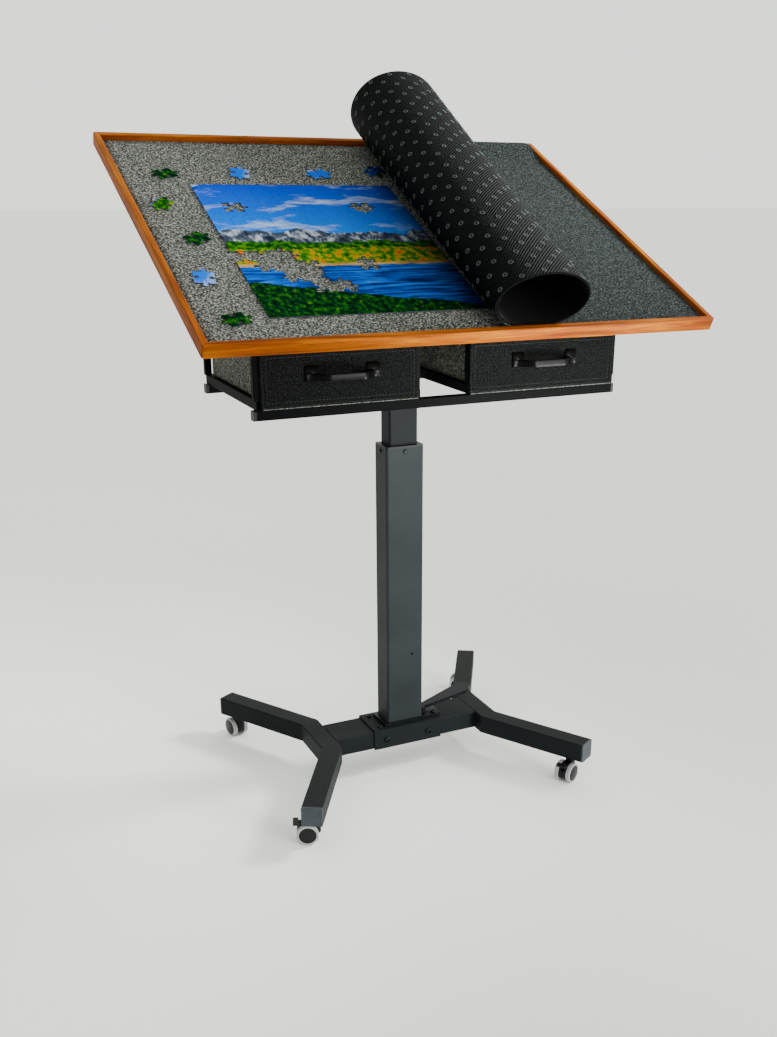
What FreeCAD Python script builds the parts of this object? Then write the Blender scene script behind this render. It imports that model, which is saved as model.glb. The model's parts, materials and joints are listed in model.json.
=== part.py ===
# A jigsaw puzzle table: a tilting felt board on a rack with two felt drawers, carried by one gas-sprung
# lifting column on a four-legged base with twin-wheel casters.
# Millimetres. +Z is up, +X is to the user's right and the user stands on the -Y side. The origin is on
# the floor, on the axis of the column.
import math
import os

import FreeCAD
import Part
from FreeCAD import Vector

# ---- Casters -------------------------------------------------------------------------------------
wheel_radius = 20.0
wheel_width = 10.0
tread_thickness = 4.0
tread_edge_radius = 1.8
tread_side_step = 1.0         # tread's outer side inside the hub's dome
wheel_gap = 16.0              # between the two wheels of a pair
caster_trail = 15.0           # from the stem's axis to the axle
caster_height = 50.0          # floor to the underside of the leg
fork_side_clearance = 0.3     # between the housing and each wheel
fork_web_radius = 19.5
fork_bottom_height = 10.0     # floor to the housing's lower edge
fork_boss_radius = 9.5
fork_top_clearance = 0.3      # between the housing and the leg
axle_radius = 2.5
axle_end_wall = 2.5           # hub material beyond the axle's end
hub_dome_rise = 2.2
stem_radius = 4.0
stem_bottom = 26.0
stem_top = 64.0
stem_nut_radius = 7.5
stem_nut_height = 6.5
stem_end_gap = 0.5            # under the stem, in the housing
caster_angles = {"left_front": 160.0, "right_front": 208.0, "left_back": 104.0, "right_back": 150.0}
brake_casters = ("left_front", "right_front")
brake_pivot_run = 21.0        # stem axis to the lever's pivot
brake_pivot_height = 33.0
brake_pivot_radius = 1.5
brake_arm_width = 6.0
brake_slot_clearance = 0.3
brake_pad_width = 22.0
brake_pad_start = 31.0
brake_pad_end = 41.0
brake_pad_bottom = 39.0
brake_pad_top = 43.0
brake_pad_corner = 2.0
brake_heel_run = 4.0          # lever's heel round its pivot
brake_heel_drop = 3.0
brake_heel_rise = 3.5
brake_neck_run = 4.0          # lever's neck before the pad
brake_neck_drop = 1.0
brake_slot_start = 7.0        # before the pivot
brake_slot_floor = 5.0        # below the pivot
press_clearance = 0.02        # radial, where a pin is pressed in

# ---- Base ----------------------------------------------------------------------------------------
leg_width = 39.0
leg_height = 38.0
leg_length = 230.0            # mitre to end cap, on the centre line
leg_splay = 30.35             # degrees off Y
leg_wall = 2.0
leg_edge_radius = 3.0
cap_thickness = 3.0
cap_plug_depth = 14.0
stem_inset = 35.0             # leg end to the caster's stem
yoke_half_length = 60.5       # beam's centre line to the mitre
beam_half_length = 155.0
beam_width = 76.0
bracket_half_length = 74.0
bracket_thickness = 3.0
bracket_overhang = 1.5        # below the beam's underside
base_plate_left = 48.0        # from the column's axis
base_plate_right = 80.0
base_plate_half_width = 30.0
base_plate_thickness = 6.0
side_bolt_x = 46.0
side_bolt_height = 66.6
side_bolt_radius = 7.0
left_bolt_x = -57.0
left_bolt_y = 27.0
right_bolt_x = 66.0
right_bolt_y = 20.0
top_bolt_radius = 5.0
bolt_head_height = 3.5
bolt_shank_radius = 3.0
bolt_shank_length = 16.0
bolt_hole_clearance = 0.2

# ---- Column --------------------------------------------------------------------------------------
column_width = 77.0
column_depth = 55.0
column_wall = 2.0
column_edge_radius = 5.0
outer_tube_length = 561.5
collar_lip = 3.0
collar_depth = 40.0
collar_fit = 0.1              # collar in the outer tube
inner_width = 58.0
inner_depth = 40.0
inner_wall = 2.0
inner_edge_radius = 4.0
inner_engagement = 418.5      # inner tube inside the outer one, at rest
inner_exposed = 103.0         # from the collar's lip to the rack, at rest
slide_clearance = 0.2         # sliding faces of the column, each side
shoe_height = 60.0
shoe_fit = 0.05
collar_screw_drop = 7.5       # below the outer tube's top
collar_screw_radius = 4.0
collar_screw_head = 2.0
collar_screw_shank = 2.0
collar_screw_length = 5.0
stop_screw_x = 15.0
stop_screw_rise = 143.0       # above the base plate
stop_screw_radius = 2.5

# ---- Gas spring and its foot pedal ---------------------------------------------------------------
spring_radius = 9.5
spring_wall = 1.5
spring_length = 430.0
spring_stud_radius = 5.0
spring_stud_length = 7.0
spring_guide_height = 12.0
spring_cap_height = 10.0
rod_radius = 4.0
rod_insertion = 325.0         # rod and piston inside the cylinder, at rest
piston_height = 10.0
running_clearance = 0.05
anchor_half_length = 20.0
anchor_height = 31.0
anchor_channel_height = 17.0
anchor_channel_half_width = 8.0
anchor_seat_depth = 10.0
release_pin_radius = 2.0
release_pin_clearance = 0.1
release_pin_length = 16.5
release_pin_gap = 0.5         # above the pedal's inner arm
release_bore_depth = 10.0
pedal_pivot_x = 46.0
pedal_pivot_rise = 6.0        # above the base plate
pedal_pin_radius = 2.5
pedal_hub_radius = 4.0
pedal_hub_half_length = 9.0
pedal_arm_half_width = 6.0
pedal_arm_thickness = 4.0
pedal_arm_reach = 4.0         # past the column's axis
pedal_arm_slot_clearance = 2.0
pedal_slope = 14.0            # degrees, at rest
pedal_length = 117.0
pedal_end_width = 40.0
pedal_tip_width = 15.0
pedal_tip_start = 6.0
pedal_plate = 3.0
pedal_skirt = 7.0
pedal_ear_thickness = 3.0
pedal_ear_gap = 0.3
pedal_ear_half_length = 6.0
pedal_ear_height = 11.0
pedal_foot_plate = 1.5
pedal_neck_overlap = 2.0      # neck past the pad's front wall

# ---- Drawer rack ---------------------------------------------------------------------------------
rack_half_width = 335.0
rack_front = -194.0
rack_back = 92.0
rail_size = 16.0
rail_wall = 1.5
rail_edge_radius = 1.5
rail_cap_thickness = 5.0
rail_cap_plug = 12.0
left_bay_inner = -50.0        # gap-side face of the left bay's inner rail
right_bay_inner = 43.0        # gap-side face of the right bay's inner rail
post_size = 12.0
post_wall = 1.2
outer_post_overhang = 3.5     # past the rails' outer face
right_inner_post_overhang = 4.0
left_inner_post_overhang = 0.0
post_length = 120.5
top_rail_size = 15.0
head_plate_half_width = 75.0
head_plate_half_depth = 60.0
head_plate_thickness = 5.0
head_screw_radius = 5.0
head_screw_head = 3.0
head_screw_shank = 2.5
head_screw_y = 45.0
bumper_radius = 7.0
bumper_x = 250.0
bumper_gap = 0.3              # under the level board

# ---- Drawers -------------------------------------------------------------------------------------
drawer_headroom = 45.0        # below the top frame
drawer_wall = 3.0
drawer_floor = 4.0
drawer_back_inset = 10.0      # inside the rack's back face
drawer_side_gap = 0.5         # to the posts
drawer_rail_gap = 0.3         # above the rails
front_thickness = 3.7
front_gap = 0.3               # front panel to the rack
front_rail_gap = 0.5          # front panel above the rail
left_front_outer_inset = 6.5  # inside the rack's outer face
left_front_inner_inset = 2.0  # from the gap-side face of the left bay
right_front_outer_inset = 1.0
right_front_overlap = 2.0     # past the gap-side face of the right bay
left_handle_x = -190.0
right_handle_x = 188.0
handle_width = 130.0
handle_height = 12.0
handle_drop = 37.5            # tabs' centre below the drawer's top
handle_strap_drop = 5.5       # strap's centre below the tabs' centre
handle_bow = 22.0
handle_strap = 3.5
handle_tab_width = 24.0
handle_tab_height = 25.0
handle_tab_thickness = 2.5

# ---- Board ---------------------------------------------------------------------------------------
board_width = 900.0
board_depth = 702.5
rim_width = 11.0
rim_height = 21.4
rim_corner_radius = 5.0
rim_edge_radius = 1.5
felt_recess = 10.0            # rim's top down to the felt
felt_thickness = 2.0
rest_tilt = 24.4              # degrees
front_overhang = 137.2        # hinge axis to the board's front edge
hinge_y = -190.0
hinge_rise = 5.0              # hinge axis above the top frame
hinge_to_board = 4.5          # hinge axis to the level board's underside
hinge_centres = (-200.0, 0.0, 200.0)
hinge_half_length = 30.0
hinge_knuckle = 15.0
hinge_knuckle_radius = 4.0
hinge_pin_radius = 2.0
hinge_leaf = 1.5
hinge_knuckle_gap = 0.3
upper_leaf_depth = 26.0

# ---- Tilt stays ----------------------------------------------------------------------------------
stay_radius = 120.0           # hinge to board pivot, and board pivot to foot
stay_slope = 7.0              # degrees, of the foot's slot below the level
stay_width = 12.0
stay_thickness = 3.0
stay_side_gap = 0.5           # between the stay and the board's bracket
stay_guide_gap = 1.0          # between the stay and its guide
stay_pin_radius = 3.0
stay_bore_clearance = 0.05
stay_pin_head_radius = 5.0
stay_pin_head = 2.0
stay_pin_proud = 0.8
ear_half_width = 12.0
ear_base_depth = 20.0
slot_clearance = 0.3
guide_thickness = 3.0
guide_front = 10.0
guide_back = 65.0
guide_height = 32.0
guide_top_drop = 2.0          # below the frame's top
foot_bolt_head_radius = 6.0
foot_bolt_head = 3.0
foot_bolt_gap = 0.3
knob_radius = 15.0
knob_length = 12.7
knob_lobes = 6
knob_flute_radius = 4.0

# ---- Cover mat and puzzle ------------------------------------------------------------------------
mat_thickness = 3.0
mat_flat_width = 337.0
mat_side_gap = 2.0            # to the right rim
mat_front_gap = 1.0           # from the front rim's inner face
mat_ramp_run = 60.0           # before the back rim's inner face
mat_flap_inset = 30.0         # flap's left end from the flat part's
mat_overhang = 3.5            # behind the back rim
mat_rim_gap = 0.3
roll_back_gap = 1.5           # to the back rim's inner face
roll_front_shift = -7.0       # roll's middle from the flat part's left edge, at its front end
roll_back_shift = 19.0        # the same at its back end
roll_front_half_width = 87.0
roll_back_half_width = 91.0
roll_front_height = 99.4
roll_back_height = 143.4
roll_felt_gap = 0.3
puzzle_thickness = 2.0
puzzle_margin = 124.0         # from the board's left edge
puzzle_mat_gap = 55.0         # to the mat's flat part
puzzle_front = 79.0           # from the board's front edge
puzzle_depth = 436.0
piece_side = 34.0             # a jigsaw piece without its knobs
piece_knob_radius = 4.5
piece_knob_reach = 3.5        # knob's centre outside the side, socket's centre inside it
# Loose pieces, from the puzzle's front left corner: share of its width and distance past that,
# share of its depth and distance past that, turn in degrees.
loose_places = (
    (0.0, -32.0, 1.0, 42.0, 20.0), (0.275, 0.0, 1.0, 47.0, 75.0), (0.677, 0.0, 1.0, 47.0, 10.0),
    (0.995, 0.0, 1.0, 60.0, 50.0), (0.0, -67.0, 0.839, 0.0, 60.0), (0.0, -40.0, 0.564, 0.0, 35.0),
    (0.0, -64.0, 0.28, 0.0, 80.0), (0.0, -50.0, 0.0, 0.0, 15.0))

# ---- Places worked out from the sizes above --------------------------------------------------------
leg_bottom = caster_height
leg_top = leg_bottom + leg_height
bracket_top = leg_top + bracket_thickness
base_plate_top = bracket_top + base_plate_thickness
outer_tube_top = base_plate_top + outer_tube_length
column_top = outer_tube_top + collar_lip
collar_screw_height = outer_tube_top - collar_screw_drop
stop_screw_height = base_plate_top + stop_screw_rise
inner_bottom = outer_tube_top - inner_engagement
rack_bottom = column_top + inner_exposed
yoke_x = beam_half_length + leg_width / 2
pedal_pivot_z = base_plate_top + pedal_pivot_rise
anchor_top = base_plate_top + anchor_height
rod_bottom = anchor_top - anchor_seat_depth
release_pin_bottom = pedal_pivot_z + pedal_arm_thickness / 2 + release_pin_gap
rack_mid = rack_bottom + rail_size
rack_top = rack_mid + rail_size
top_frame_bottom = rack_top + post_length
drawer_top = top_frame_bottom - drawer_headroom
handle_centre_height = drawer_top - handle_drop
top_frame_top = top_frame_bottom + top_rail_size
head_plate_bottom = top_frame_bottom - head_plate_thickness
spring_top = head_plate_bottom - spring_stud_length
spring_bottom = spring_top - spring_length
rod_top = spring_bottom + rod_insertion
hinge_z = top_frame_top + hinge_rise
board_bottom = hinge_z + hinge_to_board
board_top = board_bottom + rim_height
board_front = hinge_y - front_overhang
felt_level = board_top - felt_recess
front_face = rack_front - front_gap - front_thickness
frame_inner_x = rack_half_width - top_rail_size
stay_outer_x = frame_inner_x - guide_thickness - stay_guide_gap
stay_inner_x = stay_outer_x - stay_thickness
ear_outer_x = stay_inner_x - stay_side_gap
ear_inner_x = ear_outer_x - stay_thickness
knob_face_x = stay_inner_x - foot_bolt_gap
left_edge = -board_width / 2
rim_inside = board_depth - rim_width
mat_right = board_width / 2 - rim_width - mat_side_gap
mat_left = mat_right - mat_flat_width
mat_front = rim_width + mat_front_gap
puzzle_left = left_edge + puzzle_margin
puzzle_right = mat_left - puzzle_mat_gap
roll_back = rim_inside - roll_back_gap
front_spans = {
    "left": (left_front_outer_inset - rack_half_width, left_bay_inner - left_front_inner_inset),
    "right": (right_bay_inner - right_front_overlap, rack_half_width - right_front_outer_inset)}
BAYS = {
    "left": (-rack_half_width, left_bay_inner, left_inner_post_overhang),
    "right": (rack_half_width, right_bay_inner, right_inner_post_overhang)}
BIG = 4000.0


# ---- Helpers -------------------------------------------------------------------------------------
def block(x0, x1, y0, y1, z0, z1):
    """A box between two corners, in any order."""
    low = Vector(min(x0, x1), min(y0, y1), min(z0, z1))
    return Part.makeBox(abs(x1 - x0), abs(y1 - y0), abs(z1 - z0), low)


def rod(x, y, z, radius, length, axis=(0, 0, 1)):
    """A cylinder from a point along an axis."""
    return Part.makeCylinder(radius, length, Vector(x, y, z), Vector(*axis))


def bar(x0, x1, y0, y1, z0, z1, axis, radius):
    """A box whose four edges along the axis ("X", "Y" or "Z") are rounded."""
    solid = block(x0, x1, y0, y1, z0, z1)
    if radius <= 0:
        return solid
    number = "XYZ".index(axis)
    edges = [e for e in solid.Edges if round(abs(e.tangentAt(e.FirstParameter)[number])) == 1]
    return solid.makeFillet(radius, edges)


def tube(x0, x1, y0, y1, z0, z1, axis, wall, radius):
    """A rectangular tube, open at both ends of its axis."""
    spans = [[x0, x1], [y0, y1], [z0, z1]]
    inner = []
    for name, (low, high) in zip("XYZ", spans):
        low, high = min(low, high), max(low, high)
        step = -1.0 if name == axis else wall
        inner += [low + step, high - step]
    return bar(x0, x1, y0, y1, z0, z1, axis, radius).cut(bar(*inner, axis, radius - wall))


def trimmed(shape, point, normal):
    """The shape without what lies past a plane, on the side that the normal points to."""
    half = Part.makeBox(BIG, BIG, BIG, Vector(-BIG / 2, -BIG / 2, 0))
    turn = FreeCAD.Rotation(Vector(0, 0, 1), Vector(*normal))
    half.Placement = FreeCAD.Placement(Vector(*point), turn)
    return shape.cut(half)


def polygon_prism(points, direction):
    """A prism on a closed outline of points."""
    corners = [Vector(*p) for p in points]
    face = Part.Face(Part.makePolygon(corners + corners[:1]))
    return face.extrude(Vector(*direction))


def moved(shape, x, y, z=0.0, turn=0.0):
    """The shape turned about Z at the origin and then moved."""
    placed = shape.copy()
    placed.rotate(Vector(0, 0, 0), Vector(0, 0, 1), turn)
    placed.translate(Vector(x, y, z))
    return placed


def mirrored(shape):
    """The shape on the other side of the YZ plane."""
    return shape.mirror(Vector(0, 0, 0), Vector(1, 0, 0))


def fused(parts):
    """One clean solid from parts that touch or overlap."""
    return parts[0].multiFuse(parts[1:]).removeSplitter()


def tilted(shape):
    """A piece of the level board, turned about the hinge to its resting slope."""
    turned = shape.copy()
    turned.rotate(Vector(0, hinge_y, hinge_z), Vector(1, 0, 0), rest_tilt)
    return turned


def on_board(run):
    """Y of a point on the level board, from its distance to the front edge."""
    return board_front + run


def leg_direction(side, end):
    """Unit direction of a leg in plan: side is -1 left or 1 right, end is -1 front or 1 back."""
    angle = math.radians(leg_splay)
    return (side * math.sin(angle), end * math.cos(angle))


def leg_point(side, end, distance):
    """A point on a leg's centre line, from its mitre."""
    dx, dy = leg_direction(side, end)
    return (side * yoke_x + distance * dx, end * yoke_half_length + distance * dy)


def corner_signs(name):
    """Side and end signs of a caster from its name."""
    side, end = name.split("_")
    return (-1 if side == "left" else 1, -1 if end == "front" else 1)


def hinge_point(radius, degrees):
    """Y and Z of a point at a radius from the board's hinge."""
    angle = math.radians(degrees)
    return (hinge_y + radius * math.cos(angle), hinge_z + radius * math.sin(angle))


NODES = {}


# ---- Base ----------------------------------------------------------------------------------------
def yoke(side):
    """A cross tube and two legs, mitred where they are welded together."""
    tubes = []
    reach = leg_length + leg_width
    cross = tube(
        side * yoke_x - leg_width / 2, side * yoke_x + leg_width / 2, -reach, reach,
        leg_bottom, leg_top, "Y", leg_wall, leg_edge_radius)
    for end in (-1, 1):
        dx, dy = leg_direction(side, end)
        corner = (side * yoke_x, end * yoke_half_length, leg_bottom)
        mitre = (dx, dy + end, 0)
        cross = trimmed(cross, corner, mitre)
        leg = tube(
            -leg_width, leg_length - cap_thickness, -leg_width / 2, leg_width / 2,
            leg_bottom, leg_top, "X", leg_wall, leg_edge_radius)
        leg = moved(leg, corner[0], corner[1], 0, math.degrees(math.atan2(dy, dx)))
        leg = trimmed(leg, corner, (-mitre[0], -mitre[1], 0))
        stem_x, stem_y = leg_point(side, end, leg_length - stem_inset)
        hole = rod(stem_x, stem_y, leg_bottom - 1, stem_radius + bolt_hole_clearance, leg_wall + 2)
        tubes.append(leg.cut(hole))
    return Part.makeCompound([cross] + tubes)


def leg_end_caps():
    caps = []
    for side in (-1, 1):
        for end in (-1, 1):
            dx, dy = leg_direction(side, end)
            plate = bar(
                -cap_thickness, 0, -leg_width / 2, leg_width / 2, leg_bottom, leg_top,
                "X", leg_edge_radius)
            inset = leg_wall + bolt_hole_clearance
            plug = block(
                -cap_thickness - cap_plug_depth, -cap_thickness, inset - leg_width / 2,
                leg_width / 2 - inset, leg_bottom + inset, leg_top - inset)
            x, y = leg_point(side, end, leg_length)
            caps.append(moved(fused([plate, plug]), x, y, 0, math.degrees(math.atan2(dy, dx))))
    return Part.makeCompound(caps)


def caster_stems():
    """Threaded stems with a nut that sits on the leg's inner floor."""
    stems = []
    for side in (-1, 1):
        for end in (-1, 1):
            x, y = leg_point(side, end, leg_length - stem_inset)
            shank = rod(x, y, stem_bottom, stem_radius, stem_top - stem_bottom)
            nut = rod(x, y, leg_bottom + leg_wall, stem_nut_radius, stem_nut_height)
            stems.append(fused([shank, nut]))
    return Part.makeCompound(stems)


def bolt_places():
    """Where bolts go through the bracket: (x, y, z of the seat, axis out of the base)."""
    half = beam_width / 2 + bracket_thickness
    places = []
    for x in (-side_bolt_x, side_bolt_x):
        places += [(x, -half, side_bolt_height, (0, -1, 0)), (x, half, side_bolt_height, (0, 1, 0))]
    for y in (-left_bolt_y, left_bolt_y):
        places.append((left_bolt_x, y, bracket_top, (0, 0, 1)))
    for y in (-right_bolt_y, right_bolt_y):
        places.append((right_bolt_x, y, base_plate_top, (0, 0, 1)))
    return places


def bolt_holes():
    """Clearance holes for the bolts, through whatever they cross."""
    radius = bolt_shank_radius + bolt_hole_clearance
    holes = []
    for x, y, z, (ax, ay, az) in bolt_places():
        holes.append(rod(x + ax, y + ay, z + az, radius, bolt_shank_length + 2, (-ax, -ay, -az)))
    return Part.makeCompound(holes)


def base_beam():
    beam = tube(
        -beam_half_length, beam_half_length, -beam_width / 2, beam_width / 2,
        leg_bottom, leg_top, "X", leg_wall, leg_edge_radius)
    return beam.cut(bolt_holes())


def centre_bracket():
    """A folded plate over the middle of the beam."""
    outer_half = beam_width / 2 + bracket_thickness
    outer = block(
        -bracket_half_length, bracket_half_length, -outer_half, outer_half,
        leg_bottom - bracket_overhang, bracket_top)
    inner = bar(
        -bracket_half_length - 1, bracket_half_length + 1, -beam_width / 2, beam_width / 2,
        leg_bottom - bracket_overhang - leg_height, leg_top, "X", 0)
    return outer.cut(inner).cut(bolt_holes())


def column_base_plate():
    plate = bar(
        -base_plate_left, base_plate_right, -base_plate_half_width, base_plate_half_width,
        bracket_top, base_plate_top, "Z", column_edge_radius)
    return plate.cut(bolt_holes())


def collar_screw_places():
    """Screws that hold the collar: (x, y, axis into the column)."""
    return [
        (0, -column_depth / 2, (0, 1, 0)), (0, column_depth / 2, (0, -1, 0)),
        (-column_width / 2, 0, (1, 0, 0)), (column_width / 2, 0, (-1, 0, 0))]


def collar_screw_holes():
    radius = collar_screw_shank + bolt_hole_clearance
    return Part.makeCompound([
        rod(x - a[0], y - a[1], collar_screw_height, radius, collar_screw_length + 1, a)
        for x, y, a in collar_screw_places()])


def base_fasteners():
    """Bracket bolts, plate bolts, the collar's screws, the stop screw and the pedal's pin."""
    pieces = []
    for x, y, z, axis in bolt_places():
        back = (-axis[0], -axis[1], -axis[2])
        head_radius = side_bolt_radius if axis[2] == 0 else top_bolt_radius
        head = rod(x, y, z, head_radius, bolt_head_height, axis)
        pieces.append(fused([head, rod(x, y, z, bolt_shank_radius, bolt_shank_length, back)]))
    for x, y, axis in collar_screw_places():
        out = (-axis[0], -axis[1], 0)
        head = rod(x, y, collar_screw_height, collar_screw_radius, collar_screw_head, out)
        shank = rod(x, y, collar_screw_height, collar_screw_shank, collar_screw_length, axis)
        pieces.append(fused([head, shank]))
    face = -column_depth / 2
    pieces.append(rod(
        stop_screw_x, face, stop_screw_height, stop_screw_radius, collar_screw_head, (0, -1, 0)))
    length = pedal_hub_half_length + pedal_ear_gap + pedal_ear_thickness
    pieces.append(rod(
        pedal_pivot_x, -length, pedal_pivot_z, pedal_pin_radius - running_clearance, 2 * length,
        (0, 1, 0)))
    return Part.makeCompound(pieces)


# ---- Column --------------------------------------------------------------------------------------
def outer_column():
    solid = tube(
        -column_width / 2, column_width / 2, -column_depth / 2, column_depth / 2,
        base_plate_top, outer_tube_top, "Z", column_wall, column_edge_radius)
    half = pedal_arm_half_width + pedal_arm_slot_clearance
    arm_slot = block(
        anchor_half_length, column_width, -half, half, base_plate_top - 1,
        base_plate_top + anchor_channel_height)
    return solid.cut(arm_slot).cut(collar_screw_holes())


def column_collar():
    """Plastic bush in the outer tube's mouth, with a lip on its rim."""
    inset = column_wall + collar_fit
    plug = bar(
        inset - column_width / 2, column_width / 2 - inset, inset - column_depth / 2,
        column_depth / 2 - inset, outer_tube_top - collar_depth, outer_tube_top, "Z",
        column_edge_radius - column_wall)
    lip = bar(
        -column_width / 2, column_width / 2, -column_depth / 2, column_depth / 2,
        outer_tube_top, column_top, "Z", column_edge_radius)
    half_x = inner_width / 2 + slide_clearance
    half_y = inner_depth / 2 + slide_clearance
    bore = bar(
        -half_x, half_x, -half_y, half_y, outer_tube_top - collar_depth - 1, column_top + 1, "Z",
        inner_edge_radius + slide_clearance)
    return fused([plug, lip]).cut(bore).cut(collar_screw_holes())


def inner_column():
    return tube(
        -inner_width / 2, inner_width / 2, -inner_depth / 2, inner_depth / 2,
        inner_bottom, head_plate_bottom, "Z", inner_wall, inner_edge_radius)


def column_shoe():
    """Plastic slide shoe round the inner tube's lower end."""
    inset = column_wall + slide_clearance
    outer = bar(
        inset - column_width / 2, column_width / 2 - inset, inset - column_depth / 2,
        column_depth / 2 - inset, inner_bottom, inner_bottom + shoe_height, "Z",
        column_edge_radius - column_wall)
    half_x = inner_width / 2 + shoe_fit
    half_y = inner_depth / 2 + shoe_fit
    bore = bar(
        -half_x, half_x, -half_y, half_y, inner_bottom - 1, inner_bottom + shoe_height + 1, "Z",
        inner_edge_radius + shoe_fit)
    return outer.cut(bore)


def rod_anchor():
    """Block on the base plate that holds the gas spring's rod and lets the pedal's arm pass."""
    half_y = column_depth / 2 - column_wall - slide_clearance
    solid = block(
        -anchor_half_length, anchor_half_length, -half_y, half_y, base_plate_top, anchor_top)
    channel = block(
        -anchor_half_length - 1, anchor_half_length + 1, -anchor_channel_half_width,
        anchor_channel_half_width, base_plate_top - 1, base_plate_top + anchor_channel_height)
    pin_bore = rod(0, 0, base_plate_top, release_pin_radius + release_pin_clearance, anchor_height)
    seat = rod(0, 0, rod_bottom, rod_radius + running_clearance, anchor_seat_depth + 1)
    return solid.cut(channel).cut(pin_bore).cut(seat)


def gas_rod():
    shaft = rod(0, 0, rod_bottom, rod_radius, rod_top - rod_bottom)
    piston = rod(
        0, 0, rod_top - piston_height, spring_radius - spring_wall - running_clearance, piston_height)
    bore = rod(
        0, 0, rod_bottom - 1, release_pin_radius + release_pin_clearance, release_bore_depth + 1)
    return fused([shaft, piston]).cut(bore)


def gas_cylinder():
    body = rod(0, 0, spring_bottom, spring_radius, spring_length)
    stud = rod(0, 0, spring_top, spring_stud_radius, spring_stud_length)
    chamber = rod(
        0, 0, spring_bottom + spring_guide_height, spring_radius - spring_wall,
        spring_length - spring_guide_height - spring_cap_height)
    mouth = rod(0, 0, spring_bottom - 1, rod_radius + running_clearance, spring_guide_height + 2)
    return fused([body, stud]).cut(chamber).cut(mouth)


def release_pin():
    return rod(0, 0, release_pin_bottom, release_pin_radius, release_pin_length)


def foot_pedal():
    """Pressed lever: a skirted pad outside the column and an arm that reaches in under the rod."""
    end_radius = pedal_end_width / 2

    def pad(inset, low, high):
        """The pad's outline from tip to rounded end, as a slab in the pedal's own slope."""
        start = pedal_tip_start + inset
        tip = pedal_tip_width / 2 - inset
        radius = end_radius - inset
        middle = pedal_length - end_radius
        corners = [Vector(middle, -radius, low), Vector(start, -tip, low), Vector(start, tip, low),
                   Vector(middle, radius, low)]
        outline = [Part.makeLine(a, b) for a, b in zip(corners, corners[1:])]
        tip_of_arc = Vector(middle + radius, 0, low)
        outline.append(Part.Arc(corners[3], tip_of_arc, corners[0]).toShape())
        return Part.Face(Part.Wire(outline)).extrude(Vector(0, 0, high - low))

    rise = pedal_hub_radius
    hollow = pad(pedal_plate, rise - pedal_skirt - 1, rise - pedal_plate)
    shell = pad(0, rise - pedal_skirt, rise).cut(hollow)
    below = rod(0, -BIG / 2, 0, pedal_hub_radius + pedal_foot_plate, BIG, (0, 1, 0))
    shell = shell.cut(below)
    neck = block(
        0, pedal_tip_start + pedal_plate + pedal_neck_overlap, -pedal_arm_half_width,
        pedal_arm_half_width, rise - pedal_plate, rise)
    sloped = Part.makeCompound([shell, neck])
    sloped.rotate(Vector(0, 0, 0), Vector(0, 1, 0), -pedal_slope)
    hub = rod(0, -pedal_hub_half_length, 0, pedal_hub_radius, 2 * pedal_hub_half_length, (0, 1, 0))
    arm = block(
        -pedal_pivot_x - pedal_arm_reach, 0, -pedal_arm_half_width, pedal_arm_half_width,
        -pedal_arm_thickness / 2, pedal_arm_thickness / 2)
    solid = fused([hub, arm] + sloped.Solids)
    bore = rod(0, -BIG / 2, 0, pedal_pin_radius, BIG, (0, 1, 0))
    solid = solid.cut(bore)
    solid.translate(Vector(pedal_pivot_x, 0, pedal_pivot_z))
    return solid


def pedal_bracket():
    """Two ears on a foot that is welded to the base plate."""
    start = pedal_hub_half_length + pedal_ear_gap
    outer = start + pedal_ear_thickness
    left = pedal_pivot_x - pedal_ear_half_length
    right = pedal_pivot_x + pedal_ear_half_length
    parts = [block(left, right, -outer, outer, base_plate_top, base_plate_top + pedal_foot_plate)]
    for side in (-1, 1):
        parts.append(block(
            left, right, side * start, side * outer, base_plate_top,
            base_plate_top + pedal_ear_height))
    hole = rod(pedal_pivot_x, -BIG / 2, pedal_pivot_z, pedal_pin_radius, BIG, (0, 1, 0))
    return fused(parts).cut(hole)


# ---- Rack ----------------------------------------------------------------------------------------
def long_rails():
    rails = []
    for y in (rack_front, rack_back - rail_size):
        rails.append(tube(
            -rack_half_width, rack_half_width, y, y + rail_size, rack_bottom, rack_mid, "X",
            rail_wall, rail_edge_radius))
    return Part.makeCompound(rails)


def rail_end_caps():
    caps = []
    inset = rail_wall + bolt_hole_clearance
    for y in (rack_front, rack_back - rail_size):
        for side in (-1, 1):
            end = side * rack_half_width
            plate = bar(
                end, end + side * rail_cap_thickness, y, y + rail_size, rack_bottom, rack_mid, "X",
                rail_edge_radius)
            plug = block(
                end - side * rail_cap_plug, end, y + inset, y + rail_size - inset,
                rack_bottom + inset, rack_mid - inset)
            caps.append(fused([plate, plug]))
    return Part.makeCompound(caps)


def bay_sides(width):
    """(low x, high x) of the outer and inner member of each bay, for members of a width."""
    spans = []
    for outer, inner, _ in BAYS.values():
        side = 1 if outer > 0 else -1
        spans.append((outer - side * width, outer))
        spans.append((inner, inner + side * width))
    return [(min(a, b), max(a, b)) for a, b in spans]


def cross_rails():
    rails = []
    for x0, x1 in bay_sides(rail_size):
        rails.append(tube(
            x0, x1, rack_front, rack_back, rack_mid, rack_top, "Y", rail_wall, rail_edge_radius))
    return Part.makeCompound(rails)


def post_spans():
    """(low x, high x) of the posts of each bay, outer then inner."""
    spans = {}
    for name, (outer, inner, overhang) in BAYS.items():
        side = 1 if outer > 0 else -1
        outer_face = outer + side * outer_post_overhang
        inner_face = inner - side * overhang
        spans[name] = [
            sorted((outer_face - side * post_size, outer_face)),
            sorted((inner_face, inner_face + side * post_size))]
    return spans


def rack_posts():
    posts = []
    for pair in post_spans().values():
        for x0, x1 in pair:
            for y in (rack_front, rack_back - post_size):
                posts.append(tube(
                    x0, x1, y, y + post_size, rack_top, top_frame_bottom, "Z", post_wall,
                    rail_edge_radius))
    return Part.makeCompound(posts)


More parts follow.
